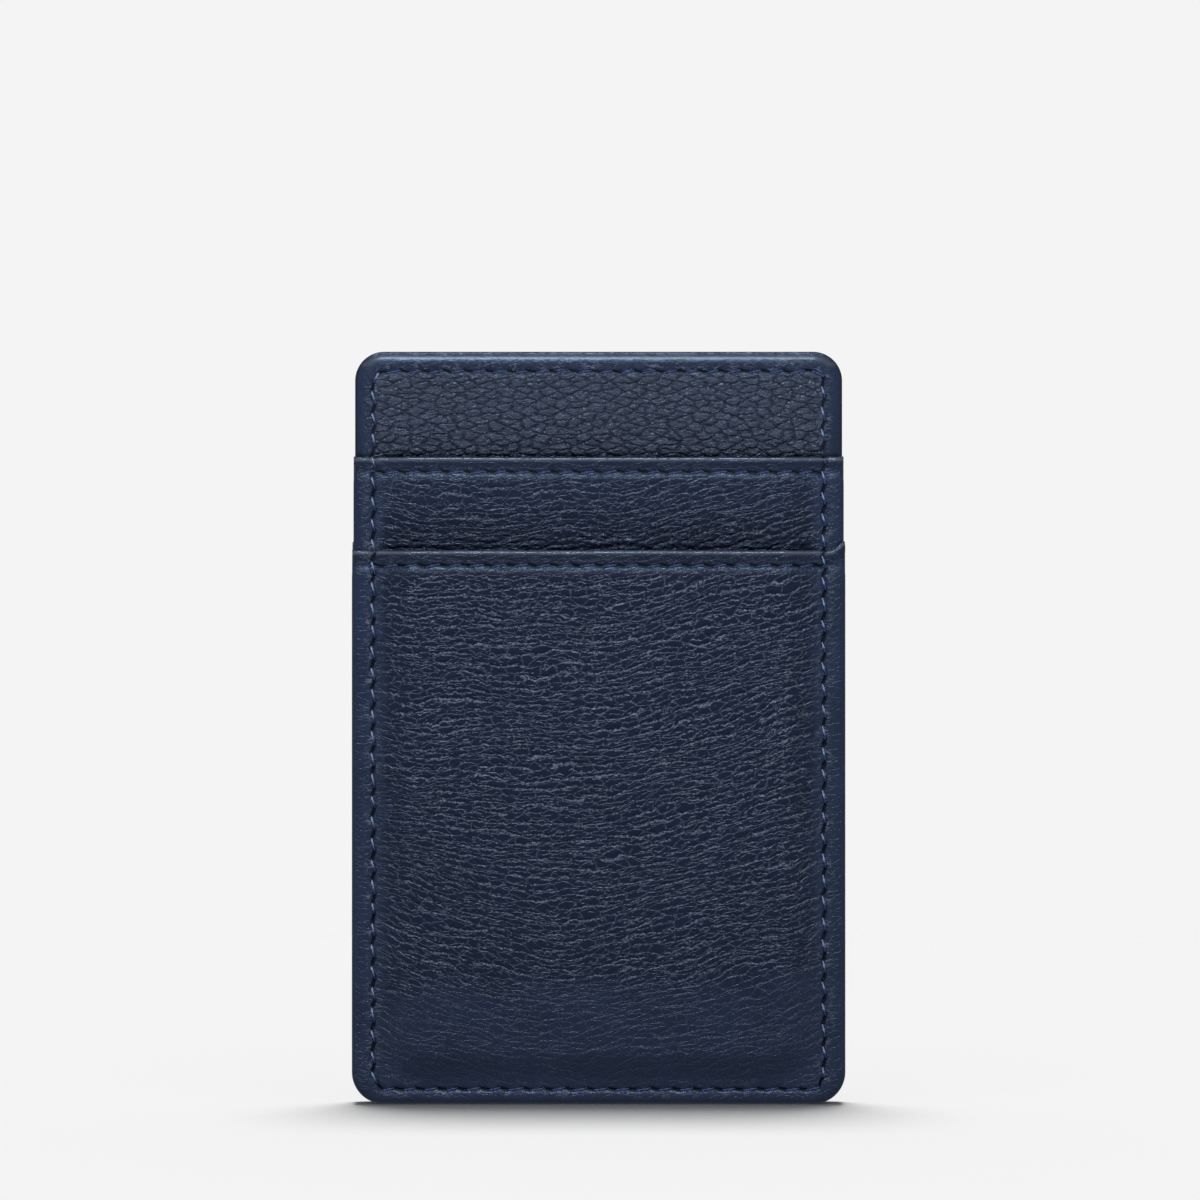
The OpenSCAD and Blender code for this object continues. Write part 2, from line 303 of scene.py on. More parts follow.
class Layer:
    """One layer of leather: its outline, levels and mouth in millimetres, read from the front solids."""

    def __init__(self, index, shape, below):
        low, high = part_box("front_" + LAYERS[index])
        self.index = index
        self.half_w = high.x / MM
        self.foot = low.z / MM
        self.top = high.z / MM
        self.rise = index * shape.slot_depth / MM
        self.base = below.level if below else 0.0
        self.wall = -low.y / MM - self.base - self.rise
        self.level = self.base + self.wall
        self.radius = shape.corner_radius / MM + self.half_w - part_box("front_facing")[1].x / MM
        self.plateau_half = shape.plateau_half / MM
        self.plateau_round = shape.plateau_round / MM
        self.ramp = shape.ramp_width / MM
        foot_seam = "front_perimeter_stitches" if index == LOWER else "front_pocket_floor_stitches"
        seam_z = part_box(foot_seam)[0].z / MM + STITCH_HALF
        self.plateau_z = seam_z + shape.seam_flat / MM + self.ramp
        self.skived = shape.skived / MM
        self.wrapped = shape.wrapped / MM
        self.leather = FACING_LEATHER if index == FACING else self.wall - self.skived - HEM_ROOM
        self.fold = self.wall / 2
        self.thin_fold = 0.085
        self.hem = shape.hem_depth / MM
        self.edge = self.edge_profile(shape)
        self.reach = self.edge[0][-1]

    def edge_profile(self, shape):
        """The leather's section from the flat face round the side: length, outward, level and normal."""
        closed = self.index == FACING
        quarter = np.linspace(0, math.pi / 2, 17)
        tuck = FACING_TUCK if closed else shape.joint_round / MM
        wide = (shape.facing_roll if closed else shape.pocket_fold) / MM
        start = self.radius - wide
        points = [np.column_stack([np.linspace(0, start, 9), np.full(9, self.level)])]
        if closed:
            bow = np.linspace(0, 1, 17)
            points.append(np.column_stack([start + (wide - tuck) * bow,
                                           self.level - (self.level - tuck * 1.2) * bow ** 2]))
            points.append(np.column_stack([self.radius - tuck + tuck * np.sin(quarter),
                                           tuck + tuck * 0.2 * np.cos(quarter)]))
        else:
            deep = min(wide, self.level * 0.5)
            points.append(np.column_stack([start + wide * np.sin(quarter),
                                           self.level - deep + deep * np.cos(quarter)]))
            points.append(np.array([[self.radius, tuck]]))
        points.append(np.column_stack([self.radius - tuck + tuck * np.cos(quarter),
                                       tuck - tuck * np.sin(quarter)]))
        if closed:
            end = self.radius - tuck - shape.turned_width / MM
            points.append(np.column_stack([np.linspace(self.radius - tuck, end, 6), np.zeros(6)]))
        line = np.vstack(points)
        keep = np.r_[True, np.hypot(*np.diff(line, axis=0).T) > 1e-5]
        line = line[keep]
        length = np.r_[0, np.cumsum(np.hypot(*np.diff(line, axis=0).T))]
        run = np.gradient(line, length, axis=0)
        run /= np.hypot(run[:, 0], run[:, 1])[:, None]
        joint_gap = 0.012
        return length, line[:, 0], line[:, 1] + joint_gap, -run[:, 1], run[:, 0]

    def swell(self, x, z):
        """Rise of the face over the cards at a place, and its slopes across and up.

        Leather eases the ramp: it leaves the card sooner and lands a little later.
        """
        leave, land = 0.7, 0.4
        ramp = self.ramp + leave + land
        start = self.plateau_round + leave
        dx = np.maximum(np.abs(x) - self.plateau_half + start, 0)
        dz = np.maximum(self.plateau_z + start - z, 0)
        far = np.hypot(dx, dz)
        t = np.clip((far - self.plateau_round) / ramp, 0, 1)
        bend = 0.3
        peak = 1 / (1 - bend)
        high = np.where(t < bend, t * t / 2 / bend, np.where(t < 1 - bend, t - bend / 2,
                        1 - bend - (1 - t) ** 2 / 2 / bend)) * peak
        slope = np.minimum(np.minimum(t, 1 - t) / bend, 1) * peak
        slope = -self.rise * slope / ramp * (t > 0) * (t < 1)
        away = np.maximum(far, 1e-9)
        return self.rise * (1 - high), slope * dx / away * np.sign(x), -slope * dz / away

    def mouth_line(self, x):
        """Height of the mouth's fold, which is cut and turned by hand."""
        if self.index == FACING:
            return np.full(np.shape(x), 1e6)
        wander = 0.05 * smooth_noise(x / 14, x * 0, 40 + self.index)
        lift = 1.3 * step(self.half_w - 2.3, self.half_w + 0.1, x) if self.index == LOWER else 0
        return self.top - 0.06 + wander + lift

    def place(self, p, q):
        """Where points of the flat sheet go: places and normals, as across, outward and up."""
        centre_x = self.half_w - self.radius
        low_z, high_z = self.foot + self.radius, self.top - self.radius
        x_over = np.maximum(np.abs(p) - centre_x, 0)
        side = np.sign(p)
        fold = self.fold_radius(np.minimum(np.abs(p), centre_x + self.reach))
        mouth = self.mouth_line(np.clip(p, -self.half_w, self.half_w)) - fold
        above = np.maximum(q - mouth, 0) if self.index != FACING else np.zeros_like(q)
        q_face = q - above
        z_over = np.maximum(low_z - q_face, 0)
        z_side = np.full(np.shape(q), -1.0)
        if self.index == FACING:
            top_over = np.maximum(q_face - high_z, 0)
            z_side = np.where(top_over > 0, 1.0, -1.0)
            z_over = np.maximum(z_over, top_over)
        both = (x_over > 0) & (z_over > 0)
        reach = np.maximum(x_over, z_over)
        share = np.minimum(x_over, z_over) / np.maximum(reach, 1e-9)
        turn = np.where(both, share * math.pi / 4, 0)
        more, less = np.cos(turn), np.sin(turn)
        wide = x_over >= z_over
        dir_x, dir_z = np.where(wide, more, less), np.where(wide, less, more)
        dir_x, dir_z = np.where(reach > 0, dir_x, 0), np.where(reach > 0, dir_z, 0)
        length, outward, level, n_out, n_face = self.edge
        out = np.interp(reach, length, outward)
        face = np.interp(reach, length, level)
        nx_out = np.interp(reach, length, n_out)
        n_up = np.interp(reach, length, n_face)
        x = side * (np.minimum(np.abs(p), centre_x) + out * dir_x)
        z = np.clip(q_face, low_z, high_z if self.index == FACING else 1e9) + z_side * out * dir_z
        high, slope_x, slope_z = self.swell(x, z)
        place = np.column_stack([x, face + high, z])
        normal = np.column_stack([side * nx_out * dir_x - slope_x * n_up, n_up,
                                  z_side * nx_out * dir_z - slope_z * n_up])
        normal /= np.linalg.norm(normal, axis=1)[:, None]
        if self.index != FACING:
            flat = normal.copy()
            flat[:, 2] = 0
            flat /= np.maximum(np.linalg.norm(flat, axis=1), 1e-9)[:, None]
            half_turn = math.pi * fold
            turned = np.clip(above / fold, 0, math.pi)
            back = np.maximum(above - half_turn, 0)
            up = np.array([0.0, 0.0, 1.0])
            bent = (up * (fold * np.sin(turned) - back)[:, None]
                    - flat * (fold * (1 - np.cos(turned)))[:, None])
            over = (above > 0)[:, None]
            place = np.where(over, place + bent, place)
            normal = np.where(over, flat * np.cos(turned)[:, None] + up * np.sin(turned)[:, None],
                              normal)
        return place, normal

    def past_edge(self, p, q):
        """1 on the narrow edge where the leather turns away from the face, 0 on the face."""
        x_over = np.abs(p) - self.half_w + self.radius
        z_over = np.maximum(q - self.top + self.radius, self.foot + self.radius - q)
        length, outward = self.edge[:2]
        edge = length[np.argmax(outward > self.radius - 0.3)]
        return 0.9 * step(edge - 0.1, edge + 0.15, np.maximum(x_over, z_over))

    def fold_radius(self, p):
        """Radius of the mouth's fold, which thins where the leather wraps round the side."""
        thin = step(self.half_w - 1.6, self.half_w - 0.2, p)
        return self.fold + (self.thin_fold - self.fold) * thin

    def thickness(self, p, q):
        """How thick the leather is at points of the flat sheet."""
        thin = step(self.half_w - 2.0, self.half_w - 0.6, np.abs(p))
        thin = np.maximum(thin, 1 - step(self.foot + 0.6, self.foot + 2.0, q))
        if self.index == FACING:
            return np.full(np.shape(p), self.leather)
        thick = self.leather + (self.wrapped - self.leather) * thin
        fold = self.fold_radius(np.abs(p))
        above = q - self.mouth_line(p) + fold
        folded = np.minimum(thick, fold * 0.9)
        hem = np.minimum(self.skived, fold * 1.6)
        thick = thick + (folded - thick) * step(-1.5, 0.0, above)
        return thick + (hem - thick) * step(0.0, 1.5, above)


class Seams:
    """Where every stitch of one half runs, as thread and needle slits on the flat sheets."""

    def __init__(self, settings, layers):
        self.layers = layers
        self.thread = settings.thread / MM
        self.pitch = settings.pitch / MM
        self.sway = settings.sway / MM
        self.groove = settings.groove / MM
        self.corner = settings.corner / MM
        self.level_stitch = settings.level_stitch / MM
        self.upright_stitch = settings.upright_stitch / MM
        low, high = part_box("front_perimeter_stitches")
        self.x = high.x / MM - STITCH_HALF
        self.bottom = low.z / MM + STITCH_HALF
        self.top = high.z / MM - STITCH_HALF
        self.hems = {}
        for index in (UPPER, LOWER):
            name = LAYERS[index].replace("pocket", "hem_stitches")
            hem_low, hem_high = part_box("front_" + name)
            self.hems[index] = (hem_low.z + hem_high.z) / 2 / MM
        rng = np.random.default_rng(settings.seed)
        self.perimeter = self.perimeter_stitches(rng)
        self.hem_rows = {index: self.hem_stitches(index, rng) for index in self.hems}
        slits = self.slits(self.perimeter, True)
        self.holes = [min(((a + b) / 2 for a, b in slits), key=lambda spot: np.hypot(*(spot - goal)))
                      for goal in ((self.x, settings.open_hole / MM),
                                   (self.x, settings.open_hole / MM - self.pitch))]

    def path(self, s):
        """A place on the perimeter seam and its direction, clockwise from the top left corner."""
        r = self.corner
        wide = 2 * (self.x - r)
        tall = self.top - self.bottom - 2 * r
        bend = r * math.pi / 2
        x, z, heading = r - self.x, self.top, 0.0
        for run in (wide, tall, wide, tall):
            if s <= run:
                return x + s * math.cos(heading), z + s * math.sin(heading), heading
            x, z, s = x + run * math.cos(heading), z + run * math.sin(heading), s - run
            centre = (x + r * math.sin(heading), z - r * math.cos(heading))
            if s <= bend:
                heading -= s / r
                return centre[0] - r * math.sin(heading), centre[1] + r * math.cos(heading), heading
            heading -= math.pi / 2
            x, z, s = centre[0] - r * math.sin(heading), centre[1] + r * math.cos(heading), s - bend
        return x, z, heading

    def stitch(self, x, z, heading, rng):
        """Ends of one stitch's thread, which crosses the seam's line at a slant."""
        upright = abs(math.sin(heading))
        half = (self.level_stitch + (self.upright_stitch - self.level_stitch) * upright) / 2
        half *= 1 + 0.10 * rng.standard_normal()
        sway = self.sway * (0.75 + 0.35 * upright + 0.12 * rng.standard_normal())
        ahead = np.array([math.cos(heading), math.sin(heading)])
        aside = np.array([-math.sin(heading), math.cos(heading)])
        centre = np.array([x, z]) + aside * 0.03 * rng.standard_normal()
        return centre - ahead * half - aside * sway, centre + ahead * half + aside * sway

    def perimeter_stitches(self, rng):
        """Every stitch of the closed seam, evenly spaced along it."""
        r = self.corner
        length = 4 * (self.x - r) + 2 * (self.top - self.bottom - 2 * r) + 2 * math.pi * r
        count = round(length / self.pitch)
        return [self.stitch(*self.path((i + 0.5) * length / count), rng) for i in range(count)]

    def hem_stitches(self, index, rng):
        """Every stitch of one mouth's hem."""
        reach = self.layers[index].half_w - 0.7
        count = round(2 * reach / (self.pitch * 1.04))
        places = [(i + 0.5) / count * 2 * reach - reach for i in range(count)]
        return [self.stitch(x, self.hems[index], 0.0, rng) for x in places]

    def slits(self, row, closed):
        """The needle slits between the stitches of a row."""
        following = row[1:] + (row[:1] if closed else [])
        return [(row[i][1], following[i][0]) for i in range(len(following))]

    def all_slits(self):
        """The needle slits of every seam that shows."""
        found = self.slits(self.perimeter, True)
        for row in self.hem_rows.values():
            found += self.slits(row, False)
        return found

    def line_distance(self, index, p, q):
        """Distance to the perimeter seam's line, below zero outside it, and to this layer's hem seam."""
        r = self.corner
        middle = (self.top + self.bottom) / 2
        dx = np.abs(p) - (self.x - r)
        dz = np.abs(q - middle) - ((self.top - self.bottom) / 2 - r)
        outside = np.hypot(np.maximum(dx, 0), np.maximum(dz, 0)) + np.minimum(np.maximum(dx, dz), 0)
        hem = np.abs(q - self.hems[index]) if index in self.hems else np.full(np.shape(q), 99.0)
        return r - outside, hem


def segment_distance(p, q, segments):
    """Distance from each point to the nearest of some short segments."""
    best = np.full(len(p), 9.0)
    for a, b in segments:
        near = np.flatnonzero((np.abs(p - (a[0] + b[0]) / 2) < 2.4) & (np.abs(q - (a[1] + b[1]) / 2) < 2.4))
        if len(near) == 0:
            continue
        run = b - a
        t = ((p[near] - a[0]) * run[0] + (q[near] - a[1]) * run[1]) / (run @ run)
        t = np.clip(t, 0, 1)
        far = np.hypot(p[near] - a[0] - t * run[0], q[near] - a[1] - t * run[1])
        best[near] = np.minimum(best[near], far)
    return best


# ---------------------------------------------------------------- relief of the leather

def seam_relief(layer, seams, p, q):
    """The soft forms that sewing gives the leather: grooves, rolls and the puffed hem."""
    inside, hem = seams.line_distance(layer.index, p, q)
    around = np.abs(inside)
    high = -seams.groove * np.exp(-(around / 0.45) ** 2)
    high += 0.05 * np.exp(-((around - 1.1) / 0.7) ** 2)
    if layer.index != FACING:
        hem_z = seams.hems[layer.index]
        high -= 0.5 * seams.groove * np.exp(-(hem / 0.3) ** 2)
        high -= 0.22 * np.exp(-((q - hem_z) / np.where(q > hem_z, 1.3, 0.7)) ** 2)
        high -= 0.17 * np.exp(-((q - layer.mouth_line(p)) / 0.45) ** 2)
    return high


def slit_relief(seams, p, q):
    """Needle slits, as depth from 0 to 1."""
    slit = np.exp(-(segment_distance(p, q, seams.all_slits()) / 0.19) ** 2)
    for x, z in seams.holes:
        slit = np.maximum(slit, np.exp(-(np.hypot((p - x) / 0.30, (q - z) / 0.42)) ** 4))
    return slit


def crease_flow(p, q, seed):
    """Height of the line that creases follow through each place: they rise to the right."""
    right = 0.12 * p * (1 + np.tanh(p / 14))
    left = 0.30 * np.logaddexp(0, -(p + 12) / 4) * 4 * step(48, 30, q)
    drift = 1.1 * smooth_noise(p / 11, q / 8, seed) + 0.2 * smooth_noise(p / 3.4, q / 2.4, seed + 1)
    return right + left + drift


def pebbles(p, q, wide, tall, seed):
    """Rounded pebbles: height from -1 in a valley to 0 on a pebble, and how near the valley is, which says
    how much shade is painted there.
    """
    u = p + 0.28 * smooth_noise(p / 1.1, q / 0.9, seed)
    v = q + 0.20 * smooth_noise(p / 1.2, q / 0.8, seed + 1) + 0.5 * smooth_noise(p / 9, q / 6, seed + 2)
    far, level = cell_borders(u, v, wide, tall, seed + 3)
    share = 0.75 + 0.25 * level
    return -share * np.exp(-(far / 0.45) ** 2), share * np.exp(-(far / 0.3) ** 2)


def recess(above):
    """Where little light gets in just above the mouth in front."""
    return 0.95 * np.exp(-(np.maximum(above, 0) / 0.5) ** 2)


def hem_shade(layer, seams, p, q):
    """The hem between its stitches and its fold, which is a little darker."""
    hem = seams.hems[layer.index]
    fold = layer.mouth_line(p)
    return 0.45 * step(hem - 0.2, hem + 0.5, q) * step(fold - 0.7, fold - 1.1, q)


def facing_grain(layer, seams, p, q, seed):
    """Deep pebbles that deepen toward the mouth below, smoother along the turned edge, with painted shade in
    the valleys and just above the mouth, and darker along the turned edge.
    """
    inside, _ = seams.line_distance(layer.index, p, q)
    body = step(-0.4, 0.9, inside)
    mouth = seams.layers[UPPER].top
    deep = 0.65 + 0.55 * step(mouth + 10, mouth, q)
    coarse, valley = pebbles(p, q, 3.4, 1.9, seed)
    high = body * deep * 0.15 * coarse + 0.02 * body * smooth_noise(p / 1.6, q / 1.2, seed + 30)
    sag = -0.22 * np.exp(-np.maximum(q - mouth, 0) / 0.7)
    # Painted shade in the pebble valleys and just above the mouth.
    painted_shade = np.maximum(0.3 * body * deep * valley, recess(q - mouth))
    bunched = 0.25 + 0.45 * step(mouth + 5, mouth + 0.5, q)
    return high + sag * body, np.maximum(painted_shade, layer.past_edge(p, q)), bunched * body


def upper_grain(layer, seams, p, q, seed):
    """Sparse creases under the hem that crowd and deepen toward the lower mouth, with painted shade in their
    valleys, just above the mouth and on the hem.
    """
    inside, _ = seams.line_distance(layer.index, p, q)
    body = step(0.2, 2.6, inside)
    below_hem = step(seams.hems[layer.index] + 0.2, seams.hems[layer.index] - 1.2, q)
    mouth = seams.layers[LOWER].top
    crowd = step(mouth + 7.5, mouth + 0.8, q)
    coarse, valley = pebbles(p, q, 2.4, 0.95, seed + 60)
    field = body * below_hem
    high = field * crowd * crowd * 0.26 * coarse
    high += 0.016 * field * smooth_noise(p / 2.5, q / 0.7, seed + 31)
    sag = -0.20 * np.exp(-np.maximum(q - mouth, 0) / 0.7)
    # Painted shade in the crease valleys, just above the mouth and on the hem.
    painted_shade = np.maximum(field * crowd * valley, body * recess(q - mouth)) + hem_shade(layer, seams, p, q)
    return high + sag * body, painted_shade, field * (0.55 + 0.45 * crowd)


def lower_grain(layer, seams, p, q, seed):
    """Long thin creases over the card's face, and smooth leather round it and at the foot."""
    inside, _ = seams.line_distance(layer.index, p, q)
    wander = smooth_noise(p / 7, q / 7, seed + 70)
    body = step(0.2, 3.2, inside + wander * 0.8)
    below_hem = step(seams.hems[layer.index] + 0.2, seams.hems[layer.index] - 2.5, q)
    above_foot = step(10.5, 21.0, q + wander * 3.0 - 0.03 * p)
    field = body * below_hem * above_foot * (0.76 + 0.24 * step(14.0, 58.0, q))
    high = 0.018 * field * smooth_noise(p / 3.0, q / 0.9, seed + 31) + 0.03 * wander * body
    faint = (0.16 + 0.15 * step(3.0, 9.0, q)) * step(0.0, 1.0, inside)
    return high, hem_shade(layer, seams, p, q), np.maximum(field, faint)


GRAINS = (facing_grain, upper_grain, lower_grain)


def pucker_zone(layer, seams, p, q):
    """How much the leather puckers at a place: most just outside a seam, in patches."""
    inside, hem = seams.line_distance(layer.index, p, q)
    patchy = 0.15 + 0.85 * step(-0.2, 0.45, smooth_noise(p / 2.2, q / 2.2, 7 + layer.index))
    near = np.exp(-(np.maximum(np.abs(inside) - 0.3, 0) / 0.85) ** 2) * patchy
    near = near * np.where(inside < 0, 1.0, 0.4) * np.where(q < seams.bottom + 1, 0.6, 1.0)
    below = 0.3 * np.exp(-((hem - 0.5) / 0.5) ** 2)
    return np.maximum(near, below)


# ---------------------------------------------------------------- sheets of leather

def spaced(start, runs):
    """Stations from start through runs, each run given as (end, about how far apart)."""
    stations = [start]
    for end, apart in runs:
        count = max(1, round((end - stations[-1]) / (apart * FINE)))
        stations += list(np.linspace(stations[-1], end, count + 1)[1:])
    return np.array(stations)


def columns_of(layer, seams, face_step):
    """Stations across a sheet: close together along the side seams and round the edges."""
    edge = layer.half_w - layer.radius + layer.reach
    half = spaced(0.0, [(seams.x - 0.8, face_step), (seams.x + 0.8, 0.1), (layer.half_w - 1.0, 0.24),
                        (edge, 0.22)])
    return np.r_[-half[:0:-1], half]


def rows_of(layer, seams):
    """Stations up a sheet, and the rows between which it is modelled finely."""
    start = layer.foot + layer.radius - layer.reach
    if layer.index == FACING:
        mouth = seams.layers[UPPER].top
        end = layer.top - layer.radius + layer.reach
        rows = spaced(start, [(layer.foot + 2, 0.4), (mouth - 3, 1.2), (seams.top - 0.8, 0.17),
                              (seams.top + 0.8, 0.1), (layer.top - 0.6, 0.17), (end, 0.2)])
        return rows, mouth - 2.9, end
    folded = layer.top + math.pi * layer.fold
    end = folded + layer.hem
    hem = seams.hems[layer.index]
    if layer.index == UPPER:
        mouth = seams.layers[LOWER].top
        runs = [(layer.foot + 2, 0.4), (mouth - 3, 1.2), (hem - 0.8, 0.17)]
        fine_from = mouth - 2.9
    else:
        runs = [(seams.bottom - 0.8, 0.2), (seams.bottom + 0.8, 0.1), (hem - 0.8, 0.243)]
        fine_from = start - 1
    runs += [(hem + 0.8, 0.1), (layer.top - layer.fold, 0.12), (folded - layer.fold, 0.12), (end, 0.4)]
    return spaced(start, runs), fine_from, folded + 1.5


def flat_sheet(name, columns, rows, fine_from, fine_to):
    """A flat sheet of leather with an outer and an inner side. Only the outer side is fine."""
    bpy.ops.object.select_all(action="DESELECT")
    across, up = len(columns) - 1, len(rows) - 1
    bpy.ops.mesh.primitive_grid_add(x_subdivisions=across, y_subdivisions=up, size=1.0)
    sheet = bpy.context.object
    sheet.name = sheet.data.name = name
    sheet.data.uv_layers.remove(sheet.data.uv_layers[0])
    bpy.ops.object.mode_set(mode="EDIT")
    bpy.ops.mesh.select_all(action="SELECT")
    bpy.ops.transform.resize(value=(across, up, 1.0))
    bpy.ops.transform.translate(value=(across / 2, up / 2, 0.0))
    bpy.ops.mesh.extrude_region_move(TRANSFORM_OT_translate={"value": (0, 0, 1)})
    bpy.ops.mesh.select_all(action="DESELECT")
    bpy.ops.object.mode_set(mode="OBJECT")
    first = np.searchsorted(rows, fine_from) - 1
    last = np.searchsorted(rows, fine_to)
    for face in sheet.data.polygons:
        face.select = bool(face.center.z > 0.9 and first <= face.center.y <= last)
    bpy.ops.object.mode_set(mode="EDIT")
    bpy.ops.mesh.select_mode(type="FACE")
    bpy.ops.mesh.subdivide(number_cuts=FINE_CUTS)
    bpy.ops.object.mode_set(mode="OBJECT")
    return sheet


def points_of(mesh):
    """A mesh's points as rows of three numbers."""
    flat = np.empty(len(mesh.vertices) * 3, np.float32)
    mesh.vertices.foreach_get("co", flat)
    return flat.reshape(-1, 3).astype(np.float64)


def in_frame(points, half):
    """From across, outward and up in millimetres to the shared frame in metres."""
    turn = 1.0 if half == "front" else -1.0
    return np.column_stack([points[:, 0] * turn, -points[:, 1] * turn, points[:, 2]]) * MM


def store(mesh, name, values):
    """Keeps one number for each point, for the materials to read."""
    attribute = mesh.attributes.new(name, "FLOAT", "POINT")
    attribute.data.foreach_set("value", values.astype(np.float32))


def leather_piece(half, index, layers, seams, material):
    """Cuts one layer's leather as a flat sheet, gives it relief and forms it."""
    layer = layers[index]
    name = f"{half}_{LAYERS[index]}_leather"
    face_step = (0.25, 0.25, 0.39)[index]
    columns = columns_of(layer, seams, face_step)
    rows, fine_from, fine_to = rows_of(layer, seams)
    sheet = flat_sheet(name, columns, rows, fine_from, fine_to)
    mesh = sheet.data
    flat = points_of(mesh)
    p = np.interp(flat[:, 0], np.arange(len(columns)), columns)
    q = np.interp(flat[:, 1], np.arange(len(rows)), rows)
    outer = flat[:, 2] > 0.5
    seed = 100 * index + (0 if half == "front" else 1000)
    grain, valley, creased = GRAINS[index](layer, seams, p, q, seed)
    slit = slit_relief(seams, p, q)
    hidden = step(1.2, 0.4, layer.reach - np.maximum(np.abs(p) - layer.half_w + layer.radius, 0))
    calm = (1 - slit) * (1 - hidden)
    if index != FACING:
        calm = calm * (1 - step(0.3, 1.6, q - layer.top))
    high = seam_relief(layer, seams, p, q) * (1 - hidden)
    high += grain * calm
    high -= SLIT_DEPTH * slit
    place, normal = layer.place(p, q)
    inner = -layer.thickness(p, q)
    place += normal * np.where(outer, np.maximum(high, inner + LEAST_THICKNESS), inner)[:, None]
    mesh.vertices.foreach_set("co", in_frame(place, half).astype(np.float32).ravel())
    # valley holds where shade is painted in the colour.
    store(mesh, "valley", valley * calm)
    store(mesh, "creased", creased * calm)
    store(mesh, "puckered", pucker_zone(layer, seams, p, q) * calm)
    store(mesh, "slit", slit)
    # fold holds where a highlight is painted on the mouth's fold and along the facing's top edge.
    store(mesh, "fold", painted_fold_highlight(layer, p, q))
    lay_out(mesh, "sheet", p, q)
    lay_out(mesh, "grain", p + 90 * index, q - crease_flow(p, q, seed))
    mesh.update()
    mesh.materials.append(material)
    bpy.ops.object.shade_smooth_by_angle(angle=math.radians(70))
    return finish_piece(sheet, "facing_leather" if index == FACING else "pocket_leather",
                        f"{half}_{LAYERS[index]}")


def painted_fold_highlight(layer, p, q):
    """Where a highlight is painted: on the mouth's fold and below the facing's top edge."""
    if layer.index == FACING:
        return np.exp(-((q - layer.top + 0.85) / 0.55) ** 2)
    return np.exp(-((q - layer.mouth_line(p) + 0.44) / 0.24) ** 2)


def lay_out(mesh, name, p, q):
    """UV map of the flat sheet, so that patterns follow the leather."""
    corners = np.empty(len(mesh.loops), np.int32)
    mesh.loops.foreach_get("vertex_index", corners)
    uv = np.column_stack([p[corners], q[corners]]) * UV_PER_MM
    mesh.uv_layers.new(name=name).data.foreach_set("uv", uv.astype(np.float32).ravel())


def finish_piece(piece, slot, *nodes):
    """Puts a piece on the body in place of its solids. The slot it is given is not used."""
    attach(piece, "root")
    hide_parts(*nodes)
    return piece


# ---------------------------------------------------------------- thread

def ply(turns, radius, offset, sides, parts):
    """One ply of a stitch: a thin bar of unit length, twisted round the thread's middle."""
    bpy.ops.object.select_all(action="DESELECT")
    bpy.ops.mesh.primitive_circle_add(vertices=sides, radius=radius, fill_type="NGON",
                                      rotation=(0, math.pi / 2, 0))
    bar = bpy.context.object
    bpy.ops.object.transform_apply(location=True, rotation=True, scale=True)
    bpy.ops.object.mode_set(mode="EDIT")
    bpy.ops.mesh.select_all(action="SELECT")
    bpy.ops.transform.translate(value=(-0.5, 0, 0))
    for _ in range(parts):
        bpy.ops.mesh.extrude_region_move(TRANSFORM_OT_translate={"value": (1 / parts, 0, 0)})
    bpy.ops.mesh.select_all(action="SELECT")
    bpy.ops.mesh.normals_make_consistent(inside=False)
    bpy.ops.object.mode_set(mode="OBJECT")
    mesh = bar.data
    points = points_of(mesh)
    turn = 2 * math.pi * turns * (points[:, 0] + 0.5)
    points[:, 1] += offset * np.cos(turn)
    points[:, 2] += offset * np.sin(turn)
    mesh.vertices.foreach_set("co", points.astype(np.float32).ravel())
    return bar


def stitch_shape(thread):
    """One stitch: two plies twisted together, a unit long, that dive in at both ends."""
    plies = []
    for start in (0.0, 0.5):
        bar = ply(1.15, thread * 0.29, thread * 0.23, 6, 9)
        bar.data.transform(Matrix.Rotation(start * 2 * math.pi, 4, "X"))
        plies.append(bar)
    bpy.ops.object.select_all(action="DESELECT")
    for bar in plies:
        bar.select_set(True)
    bpy.context.view_layer.objects.active = plies[0]
    bpy.ops.object.join()
    stitch = bpy.context.object
    points = points_of(stitch.data)
    dive = np.abs(points[:, 0]) * 2
    points[:, 2] -= thread * 1.1 * dive ** 4
    stitch.data.vertices.foreach_set("co", points.astype(np.float32).ravel())
    return stitch


